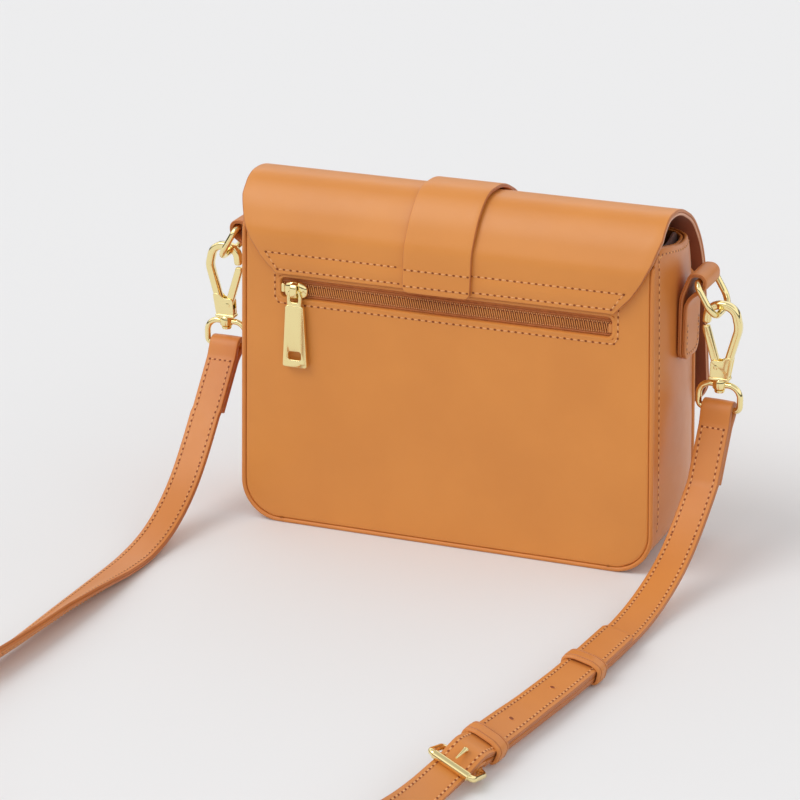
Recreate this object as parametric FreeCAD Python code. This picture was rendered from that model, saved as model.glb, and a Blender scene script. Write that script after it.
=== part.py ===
import FreeCAD, Part
import math
import os

# Box-shaped leather crossbody bag, standing on its base, with its detachable
# shoulder strap clipped on and lying on the floor behind it.
# Millimetres. +X is the bag's left when worn, -Y is its front, +Z is up.
# The origin is the middle of the base, on the floor.

V = FreeCAD.Vector

# ---------------------------------------------------------------- bag body
BODY_HALF = 107.5          # half the width at the floor
SIDE_TAPER = 0.018         # each side leans in by this much per mm of height
CORNER_RADIUS = 20.0       # bottom corners of both panels
BACK_FACE = 31.5           # outer face of the back panel, Y
FRONT_FACE = -34.0         # outer face of the front panel, Y
BACK_TOP = 147.5
FRONT_TOP = 137.0
SIDE_TOP = 163.0
LEATHER = 1.8
BOARD = 1.2                # stiffening board
GUSSET_BULGE = 4.0         # how far the middle of each side stands out
BINDING = 2.2              # width of the rolled edge round both panels
GUSSET_INSET = 0.8
GUSSET_LOW, GUSSET_HIGH = -31.7, 29.2
LINING = 0.8

# ---------------------------------------------------------------- zip pocket
ZIP_HALF = 85.0
ZIP_LOW, ZIP_HIGH = 117.0, 128.0
ZIP_LINE = 122.0           # height of the row of teeth
SLIDER_X = 76.0            # the slider stands at the closed end
PULLER_LENGTH = 33.0
PULLER_Y = 34.75           # middle of the puller's thickness
PULLER_BAR = 0.9           # radius of the bar that turns under the bridge

# ---------------------------------------------------------------- flap and belt
FLAP_LAYER = 1.5           # the flap is two such layers
FLAP_LOW = 130.0           # lower edge on the back
HINGE_Z = 148.0            # the flap bends above this line
FLAP_HALF_TOP = 106.8
FLAP_HALF_FRONT = 111.0
BELT_X = 3.3
BELT_WIDTH = 34.5
BELT_THICK = 2.1
CLOSURE_Z = 80.0

# ---------------------------------------------------------------- ring, hook
FOLD_X, FOLD_Z = 118.4, 141.4      # middle of the fold that holds the ring
TAB_Y, TAB_WIDTH = -3.5, 22.0
TAB_THICK = 1.8
RING_WIRE = 1.6
RING_DROP = 18.2
RING_LEAN = math.radians(30)
RING_HALF = 13.3
HOOK_X = 128.5
HOOK_THICK = 4.4
PIN_S, PIN_Z = -1.6, 99.0          # gate pin, S is measured outward from the hook's axis
LOOP_WIRE = 1.5
LOOP_HALF = 10.5
LOOP_TOP, LOOP_BOTTOM = 90.2, 78.0
LOOP_TURN = {"left": 0.0, "right": 5.0}        # how far each loop is turned on its swivel

# ---------------------------------------------------------------- strap
STRAP_WIDTH = 15.5
STRAP_THICK = 2.8
END_LENGTH = 36.0                              # sewn double end below the loop
END_TILT = {"left": 40.0, "right": 26.0}       # lean of each end from the vertical
LAYER_GAP = 0.2

# Middle of the long strap, from the left end to the buckle.
LONG_ROUTE = [
    (129.0, 25.4, 50.0), (129.0, 38.0, 35.0), (129.0, 56.0, 18.5), (129.0, 79.0, 6.8),
    (129.2, 104.0, 2.1), (129.0, 130.0, 2.8), (128.6, 157.0, 4.4), (128.5, 190.0, 5.6),
    (129.0, 222.0, 6.2), (130.8, 252.0, 6.8), (133.5, 289.0, 7.6), (131.5, 328.0, 8.0),
    (121.0, 365.0, 8.0), (98.0, 397.0, 8.0), (66.0, 419.0, 8.0), (28.0, 429.0, 8.0),
    (-10.0, 425.0, 8.0), (-44.0, 409.0, 8.0), (-70.0, 383.0, 7.8), (-86.0, 352.0, 7.2),
    (-94.5, 324.0, 6.8), (-98.0, 303.0, 7.0), (-100.3, 286.7, 8.5)]
# Roll of the strap about its own line at those points, degrees: -90 stands on its edge
# with the inner side of the loop uppermost.
LONG_ROLL = [0, 0, 0, 0, 0, -8, -20, -31, -37, -42, -56, -68, -76, -80, -80, -80, -80, -80, -74, -60,
             -44, -32, -23]

# Middle of the short strap, from the right end to the buckle.
SHORT_ROUTE = [
    (-126.8, 17.8, 44.8), (-125.6, 31.0, 32.0), (-123.8, 52.0, 17.5), (-121.7, 75.0, 9.2),
    (-120.5, 100.0, 5.9), (-118.8, 128.0, 5.4), (-115.4, 171.0, 5.6), (-110.4, 212.0, 6.3),
    (-106.4, 240.0, 7.1), (-103.0, 262.6, 7.4)]
SHORT_ROLL = [0, 0, 4, 10, 12, 12, 12, 14, 23, 23]

# Middle of the tail, from the buckle back to its tip: under the front bar, over the
# rear bar and on top of the short strap.
TAIL_ROUTE = [
    (-100.3, 286.4, 8.5), (-101.1, 280.5, 8.6), (-104.5, 269.3, 13.1), (-105.0, 264.3, 12.7),
    (-104.8, 257.8, 10.4), (-106.2, 246.9, 10.4), (-108.4, 231.0, 9.95), (-111.2, 211.6, 9.5),
    (-116.0, 171.0, 8.65), (-119.4, 128.0, 8.5), (-120.1, 118.5, 8.6)]
TAIL_ROLL = [-23, -23, -23, -23, -23, -23, -21, -14, -12, -12, -12]

KEEPER_SLIDING = (-116.4, 158.0, 5.55)
KEEPER_SLIDING_AIM = (3.4, 43.0, 0.2)
KEEPER_ROLL = 12.0
BUCKLE_POINT = (-102.2, 268.5, 7.4)            # middle of the buckle's rear bar
BUCKLE_AIM = (1.3, 9.9, 0.0)
BUCKLE_ROLL = 23.0
BUCKLE_LENGTH = 14.0
BUCKLE_HALF = 10.9
BUCKLE_WIRE = 1.5
FRONT_BAR_LIFT = 4.4
HOLES = [(-113.6, 191.5, 9.0), (-108.5, 230.2, 9.9)]     # adjustment holes in the tail

os.makedirs("parts", exist_ok=True)


# ================================================================ helpers
def save(name, shape):
    """Write one named piece."""
    if not shape.isValid():
        print("INVALID", name)
    shape.exportStep("parts/" + name + ".step")
    print(name, "solids", len(shape.Solids), "volume", round(shape.Volume, 1))


def side_x(z):
    """Half width of the body at height z."""
    return BODY_HALF - SIDE_TAPER * z


def corner(before, point, after, radius):
    """Start, middle and end of the arc that rounds one corner of a polyline."""
    back = (before - point).normalize()
    ahead = (after - point).normalize()
    half_turn = (math.pi - back.getAngle(ahead)) / 2
    start = point + back * (radius * math.tan(half_turn))
    end = point + ahead * (radius * math.tan(half_turn))
    bisector = (back + ahead).normalize()
    middle = point + bisector * (radius / math.cos(half_turn) - radius)
    return start, middle, end


def rounded_edges(points, radii, closed):
    """Straight runs joined by tangent arcs. A radius of 0 leaves the corner sharp."""
    count = len(points)
    arcs = {}
    for i in range(count):
        inner = closed or 0 < i < count - 1
        if inner and radii[i] > 0:
            arcs[i] = corner(points[i - 1], points[i], points[(i + 1) % count], radii[i])
    edges = []
    for i in range(count if closed else count - 1):
        j = (i + 1) % count
        begin = arcs[i][2] if i in arcs else points[i]
        finish = arcs[j][0] if j in arcs else points[j]
        if begin.distanceToPoint(finish) > 1e-6:
            edges.append(Part.LineSegment(begin, finish).toShape())
        if j in arcs:
            edges.append(Part.Arc(*arcs[j]).toShape())
    return edges


def plate(points, radii, plane, low, high):
    """A closed outline in the XZ, YZ or XY plane, extruded along the third axis."""
    place = {"xz": lambda a, b: V(a, low, b),
             "yz": lambda a, b: V(low, a, b),
             "xy": lambda a, b: V(a, b, low)}[plane]
    along = {"xz": V(0, high - low, 0), "yz": V(high - low, 0, 0), "xy": V(0, 0, high - low)}[plane]
    corners = [place(a, b) for a, b in points]
    wire = Part.Wire(Part.__sortEdges__(rounded_edges(corners, radii, True)))
    return Part.Face(wire).extrude(along)


def box(x0, x1, y0, y1, z0, z1):
    return Part.makeBox(x1 - x0, y1 - y0, z1 - z0, V(x0, y0, z0))


def rod(start, end, radius):
    """A round bar between two points."""
    axis = V(*end) - V(*start)
    return Part.makeCylinder(radius, axis.Length, V(*start), axis)


def wire_ring(points, radii, radius):
    """A closed loop of round wire: straight bars and bent corners, fused."""
    solids = []
    corners = [V(*p) for p in points]
    for edge in rounded_edges(corners, radii, True):
        start = edge.valueAt(edge.FirstParameter)
        tangent = edge.tangentAt(edge.FirstParameter)
        section = Part.Wire(Part.makeCircle(radius, start, tangent))
        if edge.Curve.TypeId == "Part::GeomLine":
            solids.append(Part.Face(section).extrude(edge.valueAt(edge.LastParameter) - start))
        else:
            turn = math.degrees(edge.LastParameter - edge.FirstParameter)
            solids.append(Part.Face(section).revolve(edge.Curve.Center, edge.Curve.Axis, turn))
    return solids[0].fuse(solids[1:]).removeSplitter()


def offset_line(points, distance):
    """Move an open polyline of (a, b) pairs to its right-hand side."""
    moved = []
    normals = []
    for (a0, b0), (a1, b1) in zip(points, points[1:]):
        length = math.hypot(a1 - a0, b1 - b0)
        normals.append(((b1 - b0) / length, -(a1 - a0) / length))
    for i, (a, b) in enumerate(points):
        before = normals[max(i - 1, 0)]
        after = normals[min(i, len(normals) - 1)]
        scale = distance / (1 + before[0] * after[0] + before[1] * after[1])
        moved.append((a + (before[0] + after[0]) * scale, b + (before[1] + after[1]) * scale))
    return moved


def band(points, radii, inner, outer, plane, low, high):
    """A strip of sheet that follows an open polyline, between two offsets of it.

    Offsets are to the right of the line, and the radii are those of the line itself;
    a negative radius marks a corner that turns to the left.
    """
    near = offset_line(points, inner)
    far = offset_line(points, outer)
    near_radii = [abs(r - inner) if r > 0 else abs(r) + (inner if r < 0 else 0) for r in radii]
    far_radii = [abs(r - outer) if r > 0 else abs(r) + (outer if r < 0 else 0) for r in radii]
    return plate(near + far[::-1], near_radii + far_radii[::-1], plane, low, high)


def tube_x(radius, bore, x0, x1, y, z):
    """A hollow cylinder along X."""
    outer = Part.makeCylinder(radius, x1 - x0, V(x0, y, z), V(1, 0, 0))
    return outer.cut(Part.makeCylinder(bore, x1 - x0, V(x0, y, z), V(1, 0, 0)))


def mirrored(shape):
    """The same piece on the other side of the bag."""
    return shape.mirror(V(0, 0, 0), V(1, 0, 0))


def turned(shape, point, axis, degrees):
    copy = shape.copy()
    copy.rotate(point, axis, degrees)
    return copy


# ================================================================ body shell
def outline(inset, top, low, high, floor=None):
    """The panel outline: tapered sides and rounded bottom corners, open end at the top."""
    floor = inset if floor is None else floor
    upper = side_x(top) - inset
    lower = side_x(floor) - inset
    points = [(-upper, top), (-lower, floor), (lower, floor), (upper, top)]
    radius = CORNER_RADIUS - inset
    return plate(points, [0, radius, radius, 0], "xz", low, high)


def binding(low, high, top):
    """Rolled leather edge round a panel."""
    return outline(0, top, low, high).cut(outline(BINDING, top + 5, low, high))


def back_panel():
    panel = outline(BINDING, BACK_TOP, BACK_FACE - LEATHER, BACK_FACE)
    window = plate([(-ZIP_HALF, ZIP_LOW), (ZIP_HALF, ZIP_LOW), (ZIP_HALF, ZIP_HIGH), (-ZIP_HALF, ZIP_HIGH)],
                   [3] * 4, "xz", BACK_FACE - 5, BACK_FACE + 5)
    return panel.cut(window)


def side_lens(inset, side):
    """The outward bulge of one side, as a leaning prism with a curved face."""
    base = CORNER_RADIUS + 4
    top = SIDE_TOP + 5
    wall = side * (side_x(base) - inset)
    edges = [Part.Arc(V(wall, GUSSET_LOW, base), V(wall + side * GUSSET_BULGE, 0, base),
                      V(wall, GUSSET_HIGH, base)).toShape(),
             Part.LineSegment(V(wall, GUSSET_HIGH, base), V(wall - side * 8, GUSSET_HIGH, base)).toShape(),
             Part.LineSegment(V(wall - side * 8, GUSSET_HIGH, base),
                              V(wall - side * 8, GUSSET_LOW, base)).toShape(),
             Part.LineSegment(V(wall - side * 8, GUSSET_LOW, base), V(wall, GUSSET_LOW, base)).toShape()]
    lean = V(-side * SIDE_TAPER * (top - base), 0, top - base)
    return Part.Face(Part.Wire(edges)).extrude(lean)


# The free upper edge of each side, from the back panel to the front panel (Y, Z).
RIM = [(29.2, 153.5), (25.0, 162.4), (13.0, 161.3), (-2.0, 157.8), (-13.6, 161.8),
       (-20.0, 157.6), (-26.0, 150.8), (-31.7, 142.6)]
RIM_RADII = [0, 3, 12, 20, 5, 10, 12, 0]


def above_rim(drop):
    """The space above the sides' upper edge, for cutting."""
    points = [(60.0, RIM[0][1] - drop - 20)] + [(y, z - drop) for y, z in RIM]
    points += [(-60.0, RIM[-1][1] - drop - 20), (-60.0, 220.0), (60.0, 220.0)]
    return plate(points, [0] + RIM_RADII + [0, 0, 0], "yz", -150, 150)


def gusset():
    """One long strip: both sides and the bottom, open at the top."""
    outer = outline(GUSSET_INSET, SIDE_TOP, GUSSET_LOW, GUSSET_HIGH, 0)
    inner = outline(GUSSET_INSET + LEATHER, SIDE_TOP + 12, GUSSET_LOW, GUSSET_HIGH, LEATHER)
    for side in (-1, 1):
        outer = outer.fuse(side_lens(GUSSET_INSET, side))
        inner = inner.fuse(side_lens(GUSSET_INSET + LEATHER, side))
    return outer.cut(inner).cut(above_rim(0)).removeSplitter()


def stiffener(face, thickness, top):
    inset = 4.6
    return outline(inset, top, min(face, face + thickness), max(face, face + thickness))


def base_board():
    half = BODY_HALF - CORNER_RADIUS - 2
    floor = LEATHER + 0.1
    return box(-half, half, GUSSET_LOW + 2, GUSSET_HIGH - 3, floor, floor + 1.6)


def lining():
    """Fabric box inside the shell, open at the top."""
    inset = 4.8
    low, high = -30.6, 23.6
    outer = outline(inset, SIDE_TOP, low, high)
    inner = outline(inset + LINING, SIDE_TOP + 10, low + LINING, high - LINING)
    return outer.cut(inner).cut(above_rim(3))


def zip_pocket():
    """Flat fabric pocket hanging behind the zip, with its mouth at the zip."""
    y0, y1 = 23.9, 28.3
    outer = box(-90, 90, y0, y1, 24, 133)
    inner = box(-89.4, 89.4, y0 + 0.6, y1 - 0.6, 24.6, 132.4)
    mouth = box(-84, 84, y1 - 1, y1 + 1, ZIP_LINE - 4, ZIP_LINE + 4)
    return outer.cut(inner).cut(mouth)


# ================================================================ zip
def zip_tape(low, high):
    return box(-91, 91, BACK_FACE - LEATHER - 1.1, BACK_FACE - LEATHER - 0.1, low, high)


def zip_teeth(side):
    """One closed row of coil teeth, as a solid rail with cut gaps between the turns."""
    y0, y1 = BACK_FACE - LEATHER - 0.1, BACK_FACE + 0.1
    z0 = ZIP_LINE if side > 0 else ZIP_LINE - 1.9
    rail = box(-80, 80, y0, y1, z0 + 0.05, z0 + 1.85)
    pitch = 5.0
    slots = []
    for i in range(32):
        x = -80 + pitch * (i + 0.5)
        slots.append(box(x - 0.4, x + 0.4, y1 - 0.7, y1 + 1, z0 - 1, z0 + 3))
    return rail.cut(slots[0].fuse(slots[1:]))


def zip_stop(x):
    y0 = BACK_FACE - LEATHER - 0.1
    return box(x - 1.2, x + 1.2, y0, y0 + 2.4, ZIP_LINE - 2.4, ZIP_LINE + 2.4)


def zip_slider():
    """Slider with its bridge; a groove under it clears the teeth."""
    face = BACK_FACE + 0.5
    outline_points = [(SLIDER_X - 5.5, ZIP_LINE - 3.0), (SLIDER_X + 3, ZIP_LINE - 4.4),
                      (SLIDER_X + 5.5, ZIP_LINE - 3.4), (SLIDER_X + 5.5, ZIP_LINE + 3.4),
                      (SLIDER_X + 3, ZIP_LINE + 4.4), (SLIDER_X - 5.5, ZIP_LINE + 3.0)]
    cap = plate(outline_points, [1, 1.5, 1, 1, 1.5, 1], "xz", face, face + 1.6)
    bridge = band([(face + 1.5, ZIP_LINE - 3.1), (face + 5.2, ZIP_LINE - 3.1), (face + 5.2, ZIP_LINE + 3.1),
                   (face + 1.5, ZIP_LINE + 3.1)], [0, -1.4, -1.4, 0], -1.3, 0, "yz",
                  SLIDER_X - 1.6, SLIDER_X + 1.6)
    return cap.fuse(bridge).removeSplitter()


def zip_puller():
    """Long tapered tag whose eye turns on the slider's bridge, with a slot near its foot."""
    eye_top = ZIP_LINE + PULLER_BAR
    neck, foot = ZIP_LINE - 7.5, ZIP_LINE - 5.5 - PULLER_LENGTH
    points = [(SLIDER_X - 3.6, eye_top), (SLIDER_X + 3.6, eye_top), (SLIDER_X + 3.6, neck + 1),
              (SLIDER_X + 4.6, neck), (SLIDER_X + 6.4, foot), (SLIDER_X - 6.4, foot),
              (SLIDER_X - 4.6, neck), (SLIDER_X - 3.6, neck + 1)]
    tag = plate(points, [0, 0, 0.8, 0.8, 1.2, 1.2, 0.8, 0.8], "xz", PULLER_Y - 0.75, PULLER_Y + 0.75)
    foot_half = plate(points[2:], [0, 0, 1.2, 1.2, 0, 0], "xz", PULLER_Y - 1.6, PULLER_Y + 0.75)
    tag = tag.fuse(foot_half.cut(box(-150, 150, 20, 50, neck + 0.5, ZIP_LINE + 5)))
    clear = box(SLIDER_X - 5, SLIDER_X + 5, PULLER_Y - 2, PULLER_Y + 2, ZIP_LINE, eye_top + 1)
    bar = rod((SLIDER_X - 3.6, PULLER_Y, ZIP_LINE), (SLIDER_X + 3.6, PULLER_Y, ZIP_LINE), PULLER_BAR)
    eye = box(SLIDER_X - 2.1, SLIDER_X + 2.1, PULLER_Y - 2, PULLER_Y + 2, ZIP_LINE - 5.0, ZIP_LINE)
    slot = box(SLIDER_X - 3.4, SLIDER_X + 3.4, PULLER_Y - 2, PULLER_Y + 2, foot + 4, foot + 8)
    return tag.cut(clear).cut(eye).cut(slot).fuse(bar).removeSplitter()


# ================================================================ flap
# Outer face of the flap, from its lower edge at the back to its front edge (Y, Z).
FLAP_PROFILE = [(34.5, FLAP_LOW), (34.5, 151.0), (27.4, 165.8), (17.0, 174.9), (-1.0, 174.9),
                (-22.0, 165.0), (-33.8, 151.0), (-39.4, 138.5), (-46.0, 62.0)]
FLAP_RADII = [0, -15.0, -34.0, -16.0, -42.0, -38.0, -46.0, -38.0, 0]
# Inner face of the belt: it lies on the flap at both ends and stands off its top.
BELT_PROFILE = [(34.7, FLAP_LOW - 1), (34.7, 151.3), (28.4, 166.4), (17.6, 175.8), (-1.2, 175.8),
                (-22.6, 165.7), (-34.5, 151.4), (-40.1, 138.6), (-46.0, 66.0)]
BELT_RADII = [0, -15.0, -34.0, -16.0, -42.0, -38.0, -46.0, -38.0, 0]


def flap_layer(inner, outer):
    """One layer of the flap along its whole profile, before its outline is cut."""
    return band(FLAP_PROFILE, FLAP_RADII, -outer, -inner, "yz", -130, 130)


def flap_mask():
    """Everything inside the flap's outline, seen from behind and from the front."""
    shoulders = [(-86.3, FLAP_LOW - 1), (86.3, FLAP_LOW - 1), (99.0, 145.5),
                 (FLAP_HALF_TOP, 170), (FLAP_HALF_TOP, 190), (-FLAP_HALF_TOP, 190),
                 (-FLAP_HALF_TOP, 170), (-99.0, 145.5)]
    back = plate(shoulders, [0, 0, 30, 30, 0, 0, 30, 30], "xz", 8, 60)
    front = plate([(-FLAP_HALF_FRONT, 61.5), (FLAP_HALF_FRONT, 61.5),
                   (FLAP_HALF_TOP, 174), (FLAP_HALF_TOP, 190),
                   (-FLAP_HALF_TOP, 190), (-FLAP_HALF_TOP, 174)], [14, 14, 0, 0, 0, 0], "xz", -60, 8)
    return back.fuse(front)


def above_hinge(shape):
    return shape.cut(box(-150, 150, 20, 60, 100, HINGE_Z + 0.4))


def below_hinge(shape):
    return shape.common(box(-150, 150, 20, 60, 100, HINGE_Z))


def belt():
    """Decorative belt over the middle of the flap, standing off its top."""
    x0 = BELT_X - BELT_WIDTH / 2
    return band(BELT_PROFILE, BELT_RADII, 0, BELT_THICK, "yz", x0, x0 + BELT_WIDTH)


# ================================================================ closure
def snap_socket():
    return rod((BELT_X, FRONT_FACE, CLOSURE_Z), (BELT_X, FRONT_FACE - 1.8, CLOSURE_Z), 8.5)


def snap_stud(lining_layer):
    stud = rod((BELT_X, -41.9, CLOSURE_Z), (BELT_X, FRONT_FACE - 2.2, CLOSURE_Z), 7.5)
    return max(stud.cut(lining_layer).Solids, key=lambda solid: solid.Volume)


# ================================================================ ring tab, ring
def ring_tab():
    """Leather strip folded over the ring and sewn to the side."""
    low = 102.0
    half = TAB_WIDTH / 2
    fold = 4.3
    profile = [(109.3, low), (109.3, 133.0), (FOLD_X - fold, FOLD_Z + fold), (FOLD_X + fold, FOLD_Z + fold),
               (FOLD_X + fold, FOLD_Z - 3.5), (113.4, 131.5), (113.0, low)]
    return band(profile, [0, 20, fold, fold, 5, -10, 0], 0, TAB_THICK, "xz", TAB_Y - half, TAB_Y + half)


def ring():
    """Oval ring of round wire, leaning outward below the fold."""
    drop = V(math.sin(RING_LEAN), 0, -math.cos(RING_LEAN)) * RING_DROP
    top = V(FOLD_X, TAB_Y, FOLD_Z)
    corners = [top + V(0, -RING_HALF, 0), top + V(0, RING_HALF, 0),
               top + drop + V(0, RING_HALF, 0), top + drop + V(0, -RING_HALF, 0)]
    return wire_ring([tuple(c) for c in corners], [3.4, 3.4, 7, 7], RING_WIRE)


# ================================================================ swivel hook
def hook_plate(points, radii, half):
    """A flat piece of the hook. S runs outward from the hook's axis."""
    return plate([(HOOK_X + s, z) for s, z in points], radii, "xz", -half, half)


def hook_body():
    """Spine, arched top and nose of the hook, over a flat base with a slot for the gate."""
    half = HOOK_THICK / 2
    path = [(HOOK_X + 5.0, 100.0), (HOOK_X + 10.6, 119.0), (HOOK_X + 8.0, 131.5), (HOOK_X - 8.2, 131.5),
            (HOOK_X - 9.2, 120.0)]
    arch = band(path, [0, -11, -8.5, -8, 0], -3.9, 0, "xz", -half, half)
    base = hook_plate([(-4.6, 93.2), (4.6, 93.2), (6.6, 104.5), (1.5, 102.4), (-4.4, 102.4)],
                      [0.8, 0.8, 0, 3, 1.5], half)
    body = arch.fuse(base).removeSplitter()
    slot = hook_plate([(-6, 96.9), (1.6, 96.9), (1.6, 104), (-6, 104)], [0, 0, 0, 0], 1.75)
    pin_hole = rod((HOOK_X + PIN_S, -4, PIN_Z), (HOOK_X + PIN_S, 4, PIN_Z), 1.0)
    post_hole = rod((HOOK_X, 0, 92), (HOOK_X, 0, 96), 1.7)
    pocket = rod((HOOK_X + 1.0, 0, 99.6), (HOOK_X + 4.3, 0, 99.6), 1.2)
    return body.cut(slot).cut(pin_hole).cut(post_hole).cut(pocket)


def hook_gate():
    """Sprung arm that closes the hook on the side next to the bag."""
    arm = hook_plate([(-3.4, 98.2), (0.0, 98.2), (-0.6, 102.0), (-5.9, 118.5), (-9.2, 118.5), (-9.2, 116.6)],
                     [1.2, 1.2, 3, 0.6, 0.3, 2], 1.5)
    return arm.cut(rod((HOOK_X + PIN_S, -4, PIN_Z), (HOOK_X + PIN_S, 4, PIN_Z), 1.12))


def gate_pin():
    half = HOOK_THICK / 2
    return rod((HOOK_X + PIN_S, -half - 0.2, PIN_Z), (HOOK_X + PIN_S, half + 0.2, PIN_Z), 1.0)


def gate_spring():
    """Small coil in the base that pushes the gate shut."""
    return tube_x(1.1, 0.7, HOOK_X + 1.9, HOOK_X + 4.1, 0, 99.6)


def swivel_post():
    shank = rod((HOOK_X, 0, 87.6), (HOOK_X, 0, 95.6), 1.7)
    return shank.fuse(rod((HOOK_X, 0, 86.0), (HOOK_X, 0, 87.8), 2.5)).removeSplitter()


def swivel_loop():
    """D-shaped loop with a bored boss for the swivel post."""
    corners = [(HOOK_X - LOOP_HALF, 0, LOOP_TOP), (HOOK_X + LOOP_HALF, 0, LOOP_TOP),
               (HOOK_X + LOOP_HALF, 0, LOOP_BOTTOM), (HOOK_X - LOOP_HALF, 0, LOOP_BOTTOM)]
    loop = wire_ring(corners, [6.0, 6.0, 2.6, 2.6], LOOP_WIRE)
    boss = rod((HOOK_X, 0, LOOP_TOP - 2.0), (HOOK_X, 0, LOOP_TOP + 2.2), 3.4)
    return loop.fuse(boss).cut(rod((HOOK_X, 0, 80), (HOOK_X, 0, 100), 1.95)).removeSplitter()


def strap_end(tilt):
    """Strap folded round the loop's lower bar and sewn to itself."""
    half = STRAP_WIDTH / 2
    x0, x1 = HOOK_X - half, HOOK_X + half
    fold = rod((x0, 0, LOOP_BOTTOM), (x1, 0, LOOP_BOTTOM), LOOP_WIRE + 0.1 + STRAP_THICK)
    legs = box(x0, x1, -STRAP_THICK, STRAP_THICK, LOOP_BOTTOM - END_LENGTH, LOOP_BOTTOM)
    bore = rod((x0 - 1, 0, LOOP_BOTTOM), (x1 + 1, 0, LOOP_BOTTOM), LOOP_WIRE + 0.1)
    return turned(fold.fuse(legs).cut(bore).removeSplitter(), V(HOOK_X, 0, LOOP_BOTTOM), V(1, 0, 0), tilt)


# ================================================================ strap
def frame_at(point, aim, roll):
    """Placement whose X runs along the strap, Y across it and Z out of its face."""
    along = V(*aim).normalize()
    across = V(0, 0, 1).cross(along).normalize()
    face = along.cross(across)
    angle = math.radians(-roll)
    side = across * math.cos(angle) + face * math.sin(angle)
    up = along.cross(side)
    matrix = FreeCAD.Matrix(along.x, side.x, up.x, point[0],
                            along.y, side.y, up.y, point[1],
                            along.z, side.z, up.z, point[2],
                            0, 0, 0, 1)
    return FreeCAD.Placement(matrix)


def path_stations(route, rolls, name):
    """Points, headings and rolls along straight runs joined by tangent arcs."""
    points = [V(*p) for p in route]
    stations = [(points[0], points[1] - points[0], rolls[0])]
    radii = []
    for i in range(1, len(points) - 1):
        before, here, after = points[i - 1], points[i], points[i + 1]
        turn = math.pi - (before - here).getAngle(after - here)
        shorter = min(here.distanceToPoint(before), here.distanceToPoint(after))
        radius = 0.45 * shorter / math.tan(turn / 2)
        radii.append(round(radius))
        start, middle, end = corner(before, here, after, radius)
        into = (here - before).normalize()
        out = (after - here).normalize()
        stations.append((start, into, rolls[i] * 0.9 + rolls[i - 1] * 0.1))
        stations.append((middle, into + out, rolls[i]))
        stations.append((end, out, rolls[i] * 0.9 + rolls[i + 1] * 0.1))
    stations.append((points[-1], points[-1] - points[-2], rolls[-1]))
    print(name, "radii", radii)
    return stations


def ribbon(stations, name):
    """Flat strap through the stations: a rectangle lofted straight from one to the next."""
    half, thin = STRAP_WIDTH / 2, STRAP_THICK / 2
    wires = []
    length = 0.0
    for i, (point, heading, roll) in enumerate(stations):
        placement = frame_at(point, heading, roll)
        corners = [placement.multVec(V(0, a, b)) for a, b in
                   ((-half, -thin), (half, -thin), (half, thin), (-half, thin))]
        wires.append(Part.makePolygon(corners + corners[:1]))
        if i:
            length += point.distanceToPoint(stations[i - 1][0])
    solid = Part.makeLoft(wires, True, True)
    print(name, "length", round(length, 1), "volume over section x length",
          round(solid.Volume / (STRAP_WIDTH * STRAP_THICK * length), 3))
    return solid


def strap_tail():
    """The tail, with a slot for the prong and the adjustment holes."""
    stations = path_stations(TAIL_ROUTE, TAIL_ROLL, "strap tail")
    solid = ribbon(stations, "strap tail").cut(in_buckle(box(-0.6, 5.8, -1.6, 1.6, 2.8, 9.5)))
    for spot in HOLES:
        drill = Part.makeCylinder(1.1, 3.6, V(0, 0, -1.8))
        drill.Placement = frame_at(spot, KEEPER_SLIDING_AIM, KEEPER_ROLL)
        solid = solid.cut(drill)
    return solid


def keeper(point, aim, roll):
    """Leather loop round both layers of the strap."""
    half = STRAP_WIDTH / 2 + 0.45
    low, high = -STRAP_THICK / 2 - 0.35, STRAP_THICK * 1.5 + LAYER_GAP + 0.35
    wall, length = 1.6, 9.0
    outer = plate([(-half - wall, low - wall), (half + wall, low - wall), (half + wall, high + wall),
                   (-half - wall, high + wall)], [2.2] * 4, "yz", -length / 2, length / 2)
    loop = outer.cut(box(-length, length, -half, half, low, high))
    loop.Placement = frame_at(point, aim, roll)
    return loop


def in_buckle(shape):
    shape.Placement = frame_at(BUCKLE_POINT, BUCKLE_AIM, BUCKLE_ROLL)
    return shape


def buckle_frame():
    """Rectangular frame: rear bar in the short strap's fold, front bar over the long strap."""
    corners = [(0, -BUCKLE_HALF, 0), (BUCKLE_LENGTH, -BUCKLE_HALF, FRONT_BAR_LIFT),
               (BUCKLE_LENGTH, BUCKLE_HALF, FRONT_BAR_LIFT), (0, BUCKLE_HALF, 0)]
    return in_buckle(wire_ring(corners, [2.4] * 4, BUCKLE_WIRE))


def buckle_fold():
    """End of the short strap, folded round the rear bar, with a slot for the prong."""
    half = STRAP_WIDTH / 2
    shell = rod((0, -half, 0), (0, half, 0), BUCKLE_WIRE + 0.1 + 2.4)
    tongue = box(-5.0, 0, -half, half, -1.4, 1.4)
    fold = shell.fuse(tongue).cut(rod((0, -half, 0), (0, half, 0), BUCKLE_WIRE + 0.1))
    return in_buckle(fold.cut(box(-3.4, 6, -1.7, 1.7, -6, 6)))


def buckle_prong():
    """Tongue that turns on the rear bar and stops against the front bar."""
    eye = rod((0, -1.1, 0), (0, 1.1, 0), 2.9)
    shank = rod((0, 0, 2.2), (2.6, 0, 7.0), 1.0).fuse(rod((2.6, 0, 7.0), (3.6, 0, 8.4), 1.0))
    shank = shank.fuse(Part.makeSphere(1.0, V(3.6, 0, 8.4))).fuse(rod((3.6, 0, 8.4), (12.0, 0, 7.2), 1.0))
    bar_way = rod((0, -2, 0), (0, 2, 0), BUCKLE_WIRE + 0.12)
    return in_buckle(eye.fuse(shank).cut(bar_way).removeSplitter())


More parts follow.
